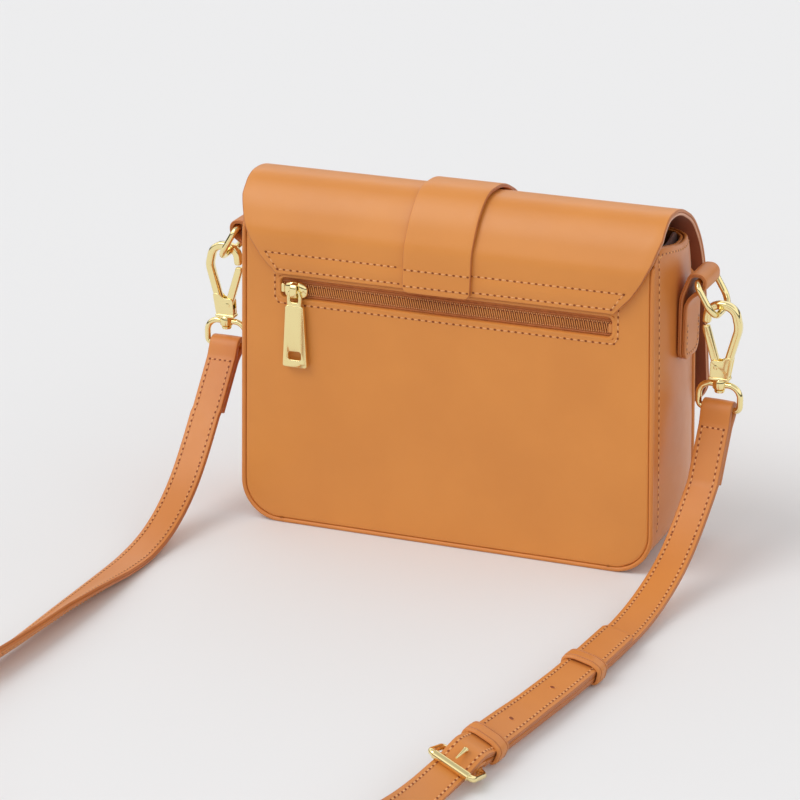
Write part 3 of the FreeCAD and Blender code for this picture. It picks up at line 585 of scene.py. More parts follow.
def panel_grid(piece, top, width_at, depth_at, windowed):
    """A panel as a grid of rows; its depth comes from a function of place and edge distance."""
    inset = BINDING + PANEL_GAP
    fine = np.array([0, 0.1, 0.3, 0.6, 0.9])
    by_window = [114.5, 115.6, 116.1, 116.5, 116.8, ZIP_LOW, 119, 121, 123, 126, ZIP_HIGH, 128.2,
                 128.5, 128.9]
    heights = np.concatenate([inset + fine, np.linspace(6, 112, 36), by_window,
                              np.linspace(131, top - 2, 8), top - fine[::-1]])
    middle = np.concatenate([[-ZIP_HALF, 0.9 - ZIP_HALF], np.linspace(-80, 80, 45),
                             [ZIP_HALF - 0.9, ZIP_HALF]])
    rows = []
    for z in heights:
        edge = width_at(z)
        outer = np.concatenate([ZIP_HALF + np.array([0.2, 0.5, 0.9]),
                                np.linspace(ZIP_HALF + 2, edge - 2, 8), edge - fine[::-1]])
        outer = np.minimum(outer, edge)
        rows.append(np.concatenate([-outer[::-1], middle, outer]))
    x = np.array(rows)
    z = np.repeat(heights[:, None], x.shape[1], 1)
    corner = np.hypot(np.maximum(np.abs(x) - side_x(CORNER_RADIUS) + CORNER_RADIUS, 0),
                      np.maximum(CORNER_RADIUS - z, 0))
    distance = np.minimum.reduce([CORNER_RADIUS - inset - corner, top - z, width_at(z) - np.abs(x),
                                  z - inset])
    if windowed:
        gap = np.hypot(np.maximum(np.abs(x) - ZIP_HALF, 0),
                       np.maximum(np.maximum(ZIP_LOW - z, z - ZIP_HIGH), 0))
        distance = np.minimum(distance, gap)
    y = depth_at(x, z, drop(np.maximum(distance, 0), 0.9))
    faces, wide = [], x.shape[1]
    for i in range(len(heights) - 1):
        for j in range(wide - 1):
            centre = abs(x[i, j] + x[i, j + 1]) / 2
            if windowed and ZIP_LOW <= heights[i] < ZIP_HIGH and centre < ZIP_HALF:
                continue
            faces.append((i * wide + j, i * wide + j + 1, (i + 1) * wide + j + 1, (i + 1) * wide + j))
    piece.add(np.stack([x, y, z], 2), faces, TAN)


def thicken(thing, outward):
    """Give a single surface, which faces outward along Y, the thickness of its leather."""
    facing = sum(face.normal.y * face.area for face in thing.data.polygons)
    if facing * outward < 0:
        thing.data.flip_normals()
    solid = thing.modifiers.new("leather", "SOLIDIFY")
    solid.thickness = LEATHER * MM
    solid.offset = -1.0


def build_back():
    """Back panel: slightly crowned leather round the zip's window."""
    def depth(x, z, fall):
        crown = crown_at(x, z, 110)
        ripple = 0.10 * np.sin(x / 23 + 1) * np.sin(z / 19) * (z < 110)
        return BACK_FACE + 0.9 * crown + ripple * crown - fall - lean_in(z)

    piece = Piece("back_panel_leather")
    panel_grid(piece, BACK_PANEL_TOP, lambda z: half_width(z, BINDING + PANEL_GAP), depth, True)
    thicken(piece.make("bag", "back_panel"), 1.0)


def build_window():
    """The leather's turned edge round the zip, and the stitches round that."""
    piece = Piece("zip_window_edge")
    path = outline(box(-ZIP_HALF, ZIP_HALF, ZIP_LOW, ZIP_HIGH), 3, 0.6)
    rings = [[(x - c * u, BACK_FACE + v, z + a * u) for u, v in WINDOW_EDGE]
             for (x, z), (a, c) in zip(path, loop_directions(path))]
    piece.loft(rings, TAN, loop=True)
    across, low, high = ZIP_HALF + 2.6, ZIP_LOW - 2.6, ZIP_HIGH + 3.5
    seam = rounded([(-across, high), (-across, low), (across, low), (across, high)], [0, 3, 3, 0])
    stitch_row(piece, np.insert(seam, 1, BACK_FACE + 0.04, axis=1), (0, 1, 0), pitch=3.5)
    piece.make("bag")


def build_front():
    """Front panel: it leans back under the flap up to the opening."""
    def depth(x, z, fall):
        return FRONT_FACE + lean_back(z) - 0.5 * crown_at(x, z, 125) + fall

    def width(z):
        return half_width(z, BINDING + PANEL_GAP) - np.interp(z, [134, 140, 160], [0, 7.0, 8.5])

    piece = Piece("front_panel_leather")
    panel_grid(piece, RIM_FRONT, width, depth, False)
    thicken(piece.make("bag", "front_panel"), -1.0)


def back_edge(z):
    """The back binding's shift along Y and inward: its top leans in under the flap."""
    return -lean_in(z), 0.0


def front_edge(z):
    """The front binding's shift: it leans with the panel and tucks in round its upper corner."""
    return lean_back(z), np.interp(z, [FRONT_TUCK_START, FRONT_BINDING_TOP], [0, FRONT_TUCK])


def build_binding(name, low, high, top, shift):
    """Rolled leather edge round a panel."""
    flat = panel_line(BINDING / 2, top)
    total = travelled(flat)[-1]
    line = []
    for x, z in sample(flat, flat, np.linspace(0, total, int(total))):
        lean, tuck = shift(z)
        line.append((x - copysign(tuck, x), (low + high) / 2 + lean, z))
    piece = Piece(name + "_leather")
    band(piece, np.array(line), (0, 1, 0), (high - low) / 2, -BINDING / 2, BINDING / 2, TAN_STRAP,
         edge=1.0, step=2.0, across=2)
    piece.make("bag", name, slot="leather_edge")


def rim_height(y):
    line = np.array(RIM)[::-1]
    smooth = [np.interp(y + d, line[:, 0], line[:, 1]) for d in (-2, -1, 0, 1, 2)]
    return np.mean(smooth, 0)


def bulge(y, z):
    """How far the gusset stands out at a place on its side."""
    front = GUSSET_LOW + lean_back(z)
    share = np.clip((y - front) / (GUSSET_HIGH - front), 0, 1)
    height = np.clip((z - 8) / 26, 0, 1)
    return GUSSET_BULGE * 4 * share * (1 - share) * height * height * (3 - 2 * height)


def gusset_place(t, z):
    """The gusset from above: t goes 0-1 along the side, 1-2 round the front corner, 2-3 inward."""
    round_by = np.interp(z, [60, 100, 150], [1.5, 4.0, 9.0])
    fold = np.interp(z, [60, 140], [2.0, 15.0])
    front = GUSSET_LOW + lean_back(z)
    side, turn, inward = np.clip(t, 0, 1), np.clip(t - 1, 0, 1) * pi / 2, np.clip(t - 2, 0, 1)
    y = GUSSET_HIGH + (front + round_by - GUSSET_HIGH) * side - round_by * np.sin(turn)
    x = bulge(y, z) - round_by * (1 - np.cos(turn)) - fold * inward
    return np.stack([x, y], -1)


def gusset_out(t, z):
    ahead = unit(gusset_place(np.minimum(t + 0.02, 3), z) - gusset_place(np.maximum(t - 0.02, 0), z))
    return np.stack([-ahead[..., 1], ahead[..., 0]], -1)


def gusset_point(t, z, off=0.0):
    """A point of the gusset on the bag's left side, and the way out from it."""
    out = gusset_out(t, z)
    flat = gusset_place(t, z) + out * off
    return np.stack([side_x(z) - GUSSET_INSET + flat[..., 0], flat[..., 1], z + 0 * flat[..., 0]], -1), out


def gusset_wall(t, rims, drop, inset):
    """Rings of a layer of leather from the rim down, each round its outer and inner face."""
    rings = []
    for near, shrink, share in [(0, 0.8, 0), (0.15, 0.35, 0)] + [(0.6, 0, k) for k in np.linspace(0, 1, 28)]:
        z = rims - near - (drop - near) * share
        outer = gusset_point(t, z, -inset - shrink)[0]
        inner = gusset_point(t, z, -inset - LEATHER + shrink)[0]
        rings.append(np.concatenate([outer, inner[::-1]]))
    return rings


def gusset_base(t):
    """Rings round the lower corner to the middle of the base."""
    rings, centre = [], side_x(CORNER_RADIUS) - GUSSET_INSET - GUSSET_BEND
    for turn in np.linspace(0, pi / 2, 12)[1:]:
        z = CORNER_RADIUS - GUSSET_BEND * sin(turn)
        ring = []
        for off in (0.0, -LEATHER):
            flat = gusset_place(t, z) + gusset_out(t, z) * off
            reach = GUSSET_BEND + flat[:, 0]
            height = CORNER_RADIUS - reach * sin(turn)
            row = np.stack([centre + reach * cos(turn), flat[:, 1], height], -1)
            ring.append(row if off == 0 else row[::-1])
        rings.append(np.concatenate(ring))
    return rings


def build_gusset():
    """One strip round the sides and bottom, its free edges turned over and sewn."""
    t = np.concatenate([np.linspace(0, 1, 25), np.linspace(1, 2, 8)[1:], np.linspace(2, 3, 6)[1:]])
    side = GUSSET_HIGH + (RIM_TURN - GUSSET_HIGH) * np.linspace(0, 1, 25)
    rims = np.concatenate([rim_height(side), np.linspace(157.1, 158.6, 7), np.linspace(158.8, RIM_FRONT, 5)])
    half = gusset_wall(t, rims, rims - CORNER_RADIUS, 0.0) + gusset_base(t)
    piece = Piece("gusset_leather")
    # The gusset takes the darker leather, painted shade of the sides.
    piece.loft(half + [ring * MIRROR for ring in half[::-1]], SHADED_SIDE_TAN)
    along = np.linspace(0.08, 1.9, 60)
    down_back = np.full(60, 0.081), np.linspace(21, 159, 60), 3.7
    below_rim = along, np.interp(along, t, rims) - 3.3, 3.6
    for flip in (np.ones(3), MIRROR):
        facing = gusset_wall(t, rims - 0.35, np.full(len(t), 14.0), 2.25)
        piece.loft([ring * flip for ring in facing], SHADED_SIDE_TAN)
        for places, heights, pitch in (down_back, below_rim):
            spots, out = gusset_point(places, heights, 0.03)
            stitch_row(piece, spots * flip, np.column_stack([out, 0 * heights]) * flip, pitch=pitch)
    piece.make("bag", "gusset")


# ---- zip
def build_tape(name, sign):
    """Half of the zip's tape, with a sewn row and a woven ridge along it."""
    piece = Piece(f"zip_tape_{name}_weave")
    low, high = sorted((ZIP_LINE + sign * TAPE_WIDTH, ZIP_LINE + sign * 0.15))
    plate(piece, [box(-TAPE_HALF, TAPE_HALF, low, high)], TAPE_FACE - 0.9, TAPE_FACE, 0.2, TAPE)
    sewn, ridge = (np.array([(x, TAPE_FACE + 0.35, ZIP_LINE + sign * away)
                             for x in (-ZIP_HALF, ZIP_HALF)]) for away in (2.35, 3.5))
    stitch_row(piece, sewn, (0, 1, 0), pitch=1.15, width=0.40, hole=0.2)
    band(piece, ridge, (0, 0, 1), 0.2, -0.3, 0.15, TAPE, edge=0.15, across=1)
    piece.make("bag", "zip_tape_" + name, slot="zip_tape")


def build_coil(name, sign, shift):
    """Half of the zip's coil, over a strip of painted shade that shows between its turns."""
    piece = Piece(f"zip_teeth_{name}_coil")
    shade = np.array([(x, TAPE_FACE + 0.06, ZIP_LINE + sign * 0.95) for x in (-84.0, 76.0)])
    band(piece, shade, (0, 0, 1), 0.9, -0.05, 0.05, PAINTED_SHADE, edge=0.02, step=40, across=1)
    for x in np.arange(TOOTH_START, TOOTH_END, TOOTH_PITCH) + shift:
        tooth(piece, x, sign)
    piece.make("bag", "zip_teeth_" + name, slot="zip_coil")


def build_zip():
    build_tape("lower", -1)
    build_tape("upper", 1)
    build_coil("lower", -1, 0.0)
    build_coil("upper", 1, TOOTH_PITCH / 2)
    for name, x, material in (("closed", 83.6, GOLD), ("open", -83.6, COIL)):
        piece = Piece(f"zip_stop_{name}_clip")
        loop = outline(box(-1.0, 1.0, -2.2, 2.2), 0.6, 1.0)
        plate(piece, [loop], TAPE_FACE, TAPE_FACE + 1.7, 0.4, material, (x, ZIP_LINE))
        piece.make("bag", "zip_stop_" + name, slot="gold_metal")


def tooth(piece, x, sign):
    """One turn of the coil: a slanted bar from its own tape to just past the middle."""
    rings = []
    for s, r in ((-1.75, 0.15), (-1.6, 0.33), (0.0, 0.37), (1.9, 0.37), (2.15, 0.18)):
        centre = (x + 0.22 * sign * s, TAPE_FACE + 0.75 - 0.05 * s * s, ZIP_LINE + sign * s)
        rings.append(circle(centre, (r, 0, 0), (0, 0.85 * r, 0), 8))
    piece.loft(rings, COIL)


def build_slider():
    """Domed slider with a bridge."""
    piece = Piece("zip_slider_body")
    origin = np.array([SLIDER_X, BACK_FACE + 0.45, ZIP_LINE])
    rings = []
    for depth, size in ((0.0, 0.90), (0.25, 1.0), (0.9, 1.0), (1.5, 0.93), (1.95, 0.78), (2.2, 0.55),
                        (2.25, 0.2)):
        ring = []
        for a in np.linspace(0, 2 * pi, 40, endpoint=False):
            c, d = cos(a), sin(a)
            wide = 6.1 * np.sign(c) * abs(c) ** 0.75
            tall = (4.5 - 0.75 * (c < 0) * abs(c)) * np.sign(d) * abs(d) ** 0.7
            ring.append(origin + (size * wide, depth, size * tall))
        rings.append(ring)
    piece.loft(rings, GOLD)
    bridge = rounded([(0.9, 3.6), (4.2, 3.2), (4.55, -2.45), (1.2, -2.8)], [0, 1.6, 1.4, 0], step=0.4)
    band(piece, origin + np.insert(bridge, 0, 0, axis=1), (1, 0, 0), 1.75, -0.6, 0.75, GOLD, edge=0.5,
         step=0.5, across=3)
    piece.make("slider", "zip_slider", slot="gold_metal")


def build_puller():
    """The tag that hangs from the slider: a thin eye above a thicker tapered tag."""
    piece = Piece("zip_puller_tag")
    centre, neck, foot = (SLIDER_X, ZIP_LINE), -7.5, -5.5 - PULLER_LENGTH
    eye = [(-3.6, neck - 1), (-3.9, -3), (-3.0, 0.9), (3.0, 0.9), (3.9, -3), (3.6, neck - 1)]
    eye_loops = [outline(eye, [0.5, 2, 2.2, 2.2, 2, 0.5]), outline(box(-2.1, 2.1, -5.4, -0.9), 0.9)]
    plate(piece, eye_loops, PULLER_Y - 0.8, PULLER_Y + 0.8, 0.55, GOLD, centre)
    tag = [(4.6, neck + 0.4), (6.4, foot), (-6.4, foot), (-4.6, neck + 0.4)]
    tag_loops = [outline(tag, 1.2), outline(box(-3.4, 3.4, foot + 3.8, foot + 8), 1.1)]
    plate(piece, tag_loops, PULLER_Y - 1.6, PULLER_Y + 0.85, 0.3, GOLD, centre)
    piece.make("puller", "zip_puller", slot="gold_metal")


# ---- flap
def flap_half(line):
    """The flap's half width at each distance along its profile."""
    along = travelled(line)
    heights, widths = zip(*ROOT_WIDTHS)

    def half(place):
        z = np.interp(place, along, line[:, 2])
        if place < FLAP_ROOT:
            return float(np.interp(z, heights, widths))
        width = FLAP_HALF + (FLAP_FRONT_HALF - FLAP_HALF) * np.clip((174 - z) / 112, 0, 1)
        return float(width - drop(along[-1] - place, FLAP_CORNER))
    return half


def profile_line(profile):
    """The rounded profile in the bag's middle plane, in short even steps."""
    flat = rounded(profile, FLAP_RADII)
    total = travelled(flat)[-1]
    flat = sample(flat, flat, np.append(np.arange(0, total, 1.0), total))
    return np.insert(flat, 0, 0, axis=1)


def welt(place):
    """The flap's leather dips at each row of stitches and swells between them."""
    dips = sum(0.22 * exp(-((place - row) / 0.9) ** 2) for row in (2.3, 10.4))
    return 0.30 * exp(-((place - 6.4) / 2.6) ** 2) - dips


def build_flap():
    """The flap's outer leather, with the seams of its root, and its lining."""
    line = profile_line(FLAP_PROFILE)
    half = flap_half(line)
    outer = Piece("flap_leather")
    band(outer, line, (1, 0, 0), half, -1.55, welt, TAN, edge=0.6, step=1.0, across=40, paint=EDGE)
    clear = BELT_WIDTH / 2 + 1
    for height, width, _ in SEAMS:
        row = np.linspace((-width, FLAP_FACE, height), (width, FLAP_FACE, height), 90)
        for part in (row[row[:, 0] < BELT_X - clear], row[row[:, 0] > BELT_X + clear]):
            stitch_row(outer, part, (0, 1, 0), pitch=3.6)
    for side in (-1, 1):
        part = np.array([(side * width, FLAP_EDGE_FACE, height) for height, width, _ in SEAMS])
        stitch_row(outer, part, (0, 1, 0), pitch=3.4)
    inner = Piece("flap_lining_leather")
    # Its inner face carries painted shade, the dark red-brown it shows under the flap.
    band(inner, line, (1, 0, 0), lambda s: half(s) - 0.25, -3.0, -1.6, PAINTED_SHADE, edge=0.5, step=1.5,
         across=40, paint=LIGHT_EDGE)
    return (outer.make(None, "flap_outer", "flap_anchor"),
            inner.make(None, "flap_lining", slot="lining_fabric"))


def build_belt():
    """The belt over the flap. It is sewn on a little aslant and wanders sideways up to the ridge."""
    line = profile_line(BELT_PROFILE)
    total = travelled(line)[-1]

    def half(place):
        return BELT_WIDTH / 2 - drop(min(place, total - place), BELT_CORNER)

    def shift(place):
        return BELT_X + float(np.interp(place, [0, 20, 60], [-1.2, -1.8, -4.0]))

    belt = Piece("belt_leather")
    band(belt, line, (1, 0, 0), half, 0, BELT_THICK - 0.1, TAN, edge=0.6, groove=0.12, step=1.5,
         across=12, shift=shift, paint=EDGE)
    for height, _, aside in SEAMS:
        row = np.array([(BELT_X - aside + reach, BELT_FACE, height) for reach in (-16, 16)])
        stitch_row(belt, row, (0, 1, 0), pitch=3.6)
    return belt.make(None, "belt_strap", "belt_anchor")


def build_closure():
    piece = Piece("snap_socket")
    turned_part(piece, (BELT_X, FRONT_FACE, CLOSURE_Z), (0, -1, 0),
                [(8.5, 0), (8.5, 0.6), (7.8, 1.2), (5.0, 1.75), (4.4, 1.2), (3.2, 0.9)], 32)
    piece.make("bag", "snap_socket", slot="gold_metal")
    piece = Piece("snap_stud")
    turned_part(piece, (BELT_X, STUD_Y, CLOSURE_Z), (0, 1, 0),
                [(7.5, 0), (7.5, 1.6), (6.5, 2.6), (3.6, 3.1), (3.2, 4.4), (1.8, 4.6)], 32)
    piece.make("flap", "snap_stud", slot="gold_metal")


# ---- rings and hooks
def make_side(piece, side, body, node, slot="gold_metal"):
    """Make a piece of the left side, or its mirror image for the right side."""
    if side == "right":
        piece.points = [points * MIRROR for points in piece.points]
    piece.make(body, node, slot=slot)


def build_tab(side):
    """Leather strip folded over the ring and sewn to the side."""
    inside, outside, top = FOLD_X - FOLD_HALF, FOLD_X + FOLD_HALF, FOLD_Z + FOLD_HALF
    profile = [(109.3, TAB_LOW), (109.3, 133.0), (inside, top), (outside, top),
               (outside, FOLD_Z - 3.5), (113.5, 131.5), (113.2, TAB_LOW)]
    flat = rounded(profile, [0, 20, FOLD_HALF, FOLD_HALF, 5, 10, 0], step=0.6)
    line = np.insert(flat, 1, TAB_Y, axis=1)
    total = travelled(line)[-1]
    piece = Piece("tab_" + side)
    band(piece, line, (0, -1, 0), lambda s: TAB_HALF - drop(min(s, total - s), TAB_CORNER), 0.0, 1.85,
         TAN_STRAP, edge=0.55, groove=0.3, step=0.8, across=8, paint=EDGE)
    path = rounded([(8.6, 119.0), (8.6, 104.0), (-8.6, 104.0), (-8.6, 119.0)], [0, 3.5, 3.5, 0])
    row = [(113.22 + 0.016 * max(z - 104, 0), TAB_Y + y, z) for y, z in path]
    stitch_row(piece, np.array(row), (1, 0, 0), pitch=3.0)
    make_side(piece, side, "bag", "ring_tab_" + side, "leather")


def build_ring(side):
    down = np.array([sin(RING_LEAN), 0, -cos(RING_LEAN)])
    piece = Piece(f"ring_{side}_wire")
    plane = np.array([FOLD_X, TAB_Y, FOLD_Z]), np.array([0, 1.0, 0]), down
    wire_loop(piece, box(-RING_HALF, RING_HALF, 0, RING_DROP), [3.4, 3.4, 7, 7], RING_WIRE, plane, 16)
    make_side(piece, side, "ring_" + side, "ring_" + side)


def build_hook(side):
    """Hook body: an arch, two base plates over a root, and a flange and collar above the swivel."""
    half = HOOK_THICK / 2
    piece = Piece("hook_" + side)
    arch = rounded([(3.4, 100.2), (8.6, 119.0), (6.2, 129.5), (-6.4, 129.5), (-7.3, 120.2)],
                   [0, 9.5, 6.5, 6.2, 0], step=0.4)
    band(piece, np.insert(arch, 1, 0, axis=1) + (HOOK_X, 0, 0), (0, 1, 0), half - 0.1, -1.95, 1.95,
         GOLD, edge=1.1, step=0.7, across=3)
    face = outline([(-4.7, 93.4), (4.7, 93.4), (6.6, 104.8), (3.2, 104.4), (1.2, 102.4), (-4.4, 102.4)],
                   [1.0, 1.0, 1.2, 2.0, 2.5, 1.8])
    root = [(-4.4, 93.5), (4.5, 93.5), (6.2, 104.2), (2.0, 102.6), (2.0, 97.0), (-4.6, 97.0)]
    flange = outline(box(-5.2, 5.2, 92.5, 94.0), 0.6)
    for loop, low, high, bevel in ((face, -HOOK_PLATE_OUT, -HOOK_PLATE_IN, 0.2),
                                   (face, HOOK_PLATE_IN, HOOK_PLATE_OUT, 0.2), (root, -1.75, 1.75, 0.1),
                                   (flange, -half - 0.45, half + 0.45, 0.5)):
        plate(piece, [loop], low, high, bevel, centre=(HOOK_X, 0))
    turned_part(piece, (HOOK_X, 0, 91.6), (0, 0, 1), [(2.6, 0), (3.2, 0.2), (3.2, 1.0), (2.8, 1.4)])
    make_side(piece, side, "hook_" + side, "hook_body_" + side)


def build_hook_parts(side):
    """The hook's gate and its pin, and the post that turns in the loop."""
    gate = Piece(f"gate_{side}_arm")
    arm = outline([(-3.4, 98.2), (0, 98.2), (-0.6, 102.0), (-5.9, 119.0), (-9.0, 119.0), (-9.0, 117.0)],
                  [1.0, 1.0, 2, 0.6, 0.6, 1.5])
    plate(gate, [arm], -1.5, 1.5, 0.55, centre=(HOOK_X, 0))
    make_side(gate, side, "gate_" + side, "hook_gate_" + side)
    pin = Piece("pin_" + side)
    turned_part(pin, (HOOK_X + PIN_S, -HOOK_THICK / 2 - 0.3, PIN_Z), (0, 1, 0),
                [(0.7, 0), (1.15, 0.12), (1.15, 0.35), (1.0, 0.4), (1.0, 4.6), (1.15, 4.65),
                 (1.15, 4.88), (0.7, 5.0)], 16)
    make_side(pin, side, "hook_" + side, "gate_pin_" + side)
    post = Piece("post_" + side)
    turned_part(post, (HOOK_X, 0, 86.0), (0, 0, 1),
                [(1.4, 0), (2.3, 0.3), (2.5, 0.8), (2.5, 1.5), (1.7, 1.8), (1.7, 9.6)])
    make_side(post, side, "hook_" + side, "swivel_post_" + side)


def about_bar(points, degrees, axes):
    """Turn points about the middle of the loop's lower bar, in the plane of two axes."""
    c, s = cos(radians(degrees)), sin(radians(degrees))
    moved = np.array(points, float) - LOOP_BAR
    u, v = moved[:, axes].T
    moved[:, axes] = np.stack([c * u - s * v, s * u + c * v], 1)
    return moved + LOOP_BAR


def build_loop(side):
    piece = Piece(f"loop_{side}_wire")
    plane = np.array([HOOK_X, 0, 0]), np.array([1.0, 0, 0]), np.array([0, 0, 1.0])
    corners = box(-LOOP_HALF, LOOP_HALF, LOOP_TOP, LOOP_BOTTOM)
    wire_loop(piece, corners, [6.0, 6.0, 2.6, 2.6], LOOP_WIRE, plane, 16)
    turned_part(piece, (HOOK_X, 0, LOOP_TOP - 2.0), (0, 0, 1),
                [(2.0, 0), (3.1, 0), (3.4, 0.4), (3.4, 3.6), (3.1, 4.2), (2.0, 4.2)])
    piece.points = [about_bar(points, LOOP_TURN[side], [0, 1]) for points in piece.points]
    make_side(piece, side, "loop_" + side, "swivel_loop_" + side)


def end_path(side):
    """The folded end: up the inner layer, over the loop's bar and down the outer layer."""
    gap = STRAP_THICK / 2 + 0.02
    bow = LOOP_WIRE + 0.1 + STRAP_THICK / 2
    path = [(-gap, -END_LENGTH), (-gap, -8.0), (-bow, -1.5), (-bow, bow), (bow, bow), (bow, -1.5),
            (gap, -8.0), (gap, -END_LENGTH)]
    flat = rounded(path, [0, 8, 6, bow * 0.98, bow * 0.98, 6, 8, 0], step=0.5)
    leaning = about_bar(np.insert(flat, 0, 0, axis=1) + LOOP_BAR, END_TILT[side], [1, 2])
    return about_bar(leaning, LOOP_TURN[side], [0, 1]) * (MIRROR if side == "right" else 1.0)


# ---- strap
def strap_frame(point, aim, roll):
    """A place on the strap, and unit vectors along, across and out of it there."""
    along = unit(aim)
    side = rolled(along, roll)
    return np.array(point, float), along, side, np.cross(along, side)


def strap_band(piece, line, sides, half, **shape):
    """The strap's leather with its painted and grooved edges."""
    band(piece, line, sides, half, -STRAP_THICK / 2, STRAP_THICK / 2, TAN_STRAP, edge=0.6, groove=0.3,
         across=8, crown=0.15, paint=EDGE, **shape)


def strap_rows(piece, line, sides, start, end, faces, curl=None):
    """Two rows of stitches along the top (1) or the underside (-1)."""
    up = unit(np.cross(directions(line), sides))
    places = np.arange(start, end, 1.5)
    rise = np.zeros(len(line))
    if curl:
        rise = np.array([curl(place) for place in travelled(line)]) * (STRAP_SEAM * 2 / STRAP_WIDTH) ** 2
    for face in faces:
        for edge in (-1, 1):
            lift = face * (STRAP_THICK / 2 + 0.03) + (face > 0) * 0.07 + rise
            row = sample(line, line + sides * edge * STRAP_SEAM + up * lift[:, None], places)
            stitch_row(piece, row, unit(sample(line, up * face, places)), pitch=3.0)


def cut_line(line, sides, start, end):
    """The part of a strap's line between two distances."""
    along = travelled(line)
    places = np.concatenate([[start], along[(along > start + 0.5) & (along < end - 0.5)], [end]])
    return sample(line, line, places), unit(sample(line, sides, places))


def strap_end(side, line, sides):
    """The end folded round the loop, and the first stretch of strap that hangs from it."""
    fold = end_path(side)
    folded = travelled(fold)[-1]
    hanging, across = cut_line(line, sides, 0.8, END_PIECE)
    path = np.concatenate([fold, hanging])
    path = sample(path, path, np.arange(0, travelled(path)[-1], 0.7))
    path = np.concatenate([path, hanging[-1:]])
    total = travelled(path)[-1]
    share = np.clip((travelled(path) - folded) / END_PIECE, 0, 1)[:, None]
    aside = unit(sides[0] * (1 - share) + across[-1] * share)
    piece = Piece(f"strap_end_{side}_leather")
    strap_band(piece, path, aside, STRAP_WIDTH / 2, step=1.2, plain=(False, True))
    start = folded - END_LENGTH + 10.0
    for first, last, face in ((2.0, 27.0, 1), (start, total, 1), (folded + 2.0, total, -1)):
        strap_rows(piece, path, aside, first, last, (face,))
    outs = unit(np.cross(directions(path), aside))
    place, out = sample(path, path, [start])[0], unit(sample(path, outs, [start])[0])
    cross = [place + sides[0] * s * STRAP_SEAM + out * (STRAP_THICK / 2 + 0.1) for s in (-1, 1)]
    stitch_row(piece, np.array(cross), out, pitch=3.0)
    return piece.make(None, "strap_end_" + side)


def punch(piece, line, sides, spot):
    """An adjustment hole with a pressed rim, at the place on the strap's top nearest a spot; its floor is a
    dark disc of painted shade.
    """
    nearest = np.argmin(np.linalg.norm(line - np.array(spot), axis=1))
    along, side = directions(line)[nearest], sides[nearest]
    up = unit(np.cross(along, side))
    centre = line[nearest] + up * (STRAP_THICK / 2 + 0.34)
    rings = [circle(centre + up * h, r * along, r * side, 20)
             for r, h in ((1.6, -0.25), (1.4, 0.0), (1.15, 0.0), (1.05, -0.12))]
    piece.loft(rings, TAN_STRAP, edge=PIT_SHADE, marks=[False] * 20)


def build_strap(side, route, rolls, nodes):
    """One strap from its folded end on. The left one is the long one and has the pointed tail."""
    line = spline_line(route)
    sides = rolled_sides(line, route, rolls)
    end = strap_end(side, line, sides)
    part, across = cut_line(line, sides, END_PIECE, travelled(line)[-1])
    total = travelled(part)[-1]

    def curl(place):
        """The strap dishes upward where it leans over on the floor."""
        return (side == "left") * DISH * float(np.interp(place, DISH_PLACES, [0, 1, 1, 0]))

    def half(place):
        return STRAP_WIDTH / 2 - (side == "left") * drop(total - place, TIP_CORNER)

    piece = Piece("strap_" + side)
    strap_band(piece, part, across, half, step=2.2, cup=curl, plain=(True, False))
    strap_rows(piece, part, across, 1.5, total - 2.0, (1, -1), curl)
    if side == "left":
        for spot in HOLES:
            punch(piece, part, across, spot)
    strap = piece.make(None, *nodes)
    top = np.array([copysign(HOOK_X, part[0][0]), 4.0, 70.0]) * MM
    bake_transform(end)
    sample(part, part, [FREE_LENGTH])[0] * MM
    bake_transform(strap)
    sample(part, part, np.arange(0, total, 2.0)) * MM


def build_keeper(name, node, body, place):
    """Leather loop round the strap with a crease near each edge; the crease walls take the darker edge
    colour as painted shade.
    """
    origin, along, side, up = place
    half = STRAP_WIDTH / 2 + KEEPER_ROOM + 0.1
    low, high = -STRAP_THICK / 2 - KEEPER_ROOM, STRAP_THICK * 1.5 + 0.2 + KEEPER_ROOM
    flat = outline([(-half, low), (half, low), (half, high - 0.4), (half * 0.5, high + 0.9),
                    (-half * 0.5, high + 0.9), (-half, high - 0.4)], [1.3, 1.3, 2.2, 6, 6, 2.2], 0.5)
    edge = [(4.6, 0.3), (4.35, 1.15), (3.9, 1.5), (3.15, 1.54), (2.75, 1.08), (2.35, 1.56), (1.2, 1.66)]
    shape = [(-a, b) for a, b in edge] + edge[::-1] + [(4.3, 0.0), (-4.3, 0.0)]
    rings = []
    for spot, (x, y) in zip(flat, loop_directions(flat)):
        spots = [spot + np.array([y, -x]) * b for _, b in shape]
        rings.append([origin + along * a + side * s + up * t for (a, _), (s, t) in zip(shape, spots)])
    piece = Piece(name)
    # Painted shade: the crease walls get the darker edge leather.
    piece.loft(rings, TAN_STRAP, loop=True, edge=EDGE, marks=[2.3 < abs(a) < 3.2 for a, _ in shape])
    piece.make(body, node)


def build_buckle(place):
    """Buckle frame: a wire loop that rises to its front bar, which carries a sleeve."""
    origin, along, side, up = place
    slope = unit(along * BUCKLE_LENGTH + up * FRONT_BAR_LIFT)
    reach = hypot(BUCKLE_LENGTH, FRONT_BAR_LIFT)
    piece = Piece("buckle")
    corners = box(0, reach, -BUCKLE_HALF, BUCKLE_HALF)
    wire_loop(piece, corners, 2.4, BUCKLE_WIRE, (origin, slope, side), 14)
    length = 2 * BUCKLE_HALF - 3.8
    turned_part(piece, origin + slope * reach - side * length / 2, side,
                [(1.6, 0), (2.0, 0.3), (2.0, length - 0.3), (1.6, length)])
    piece.make("bag", "buckle_frame", slot="gold_metal")


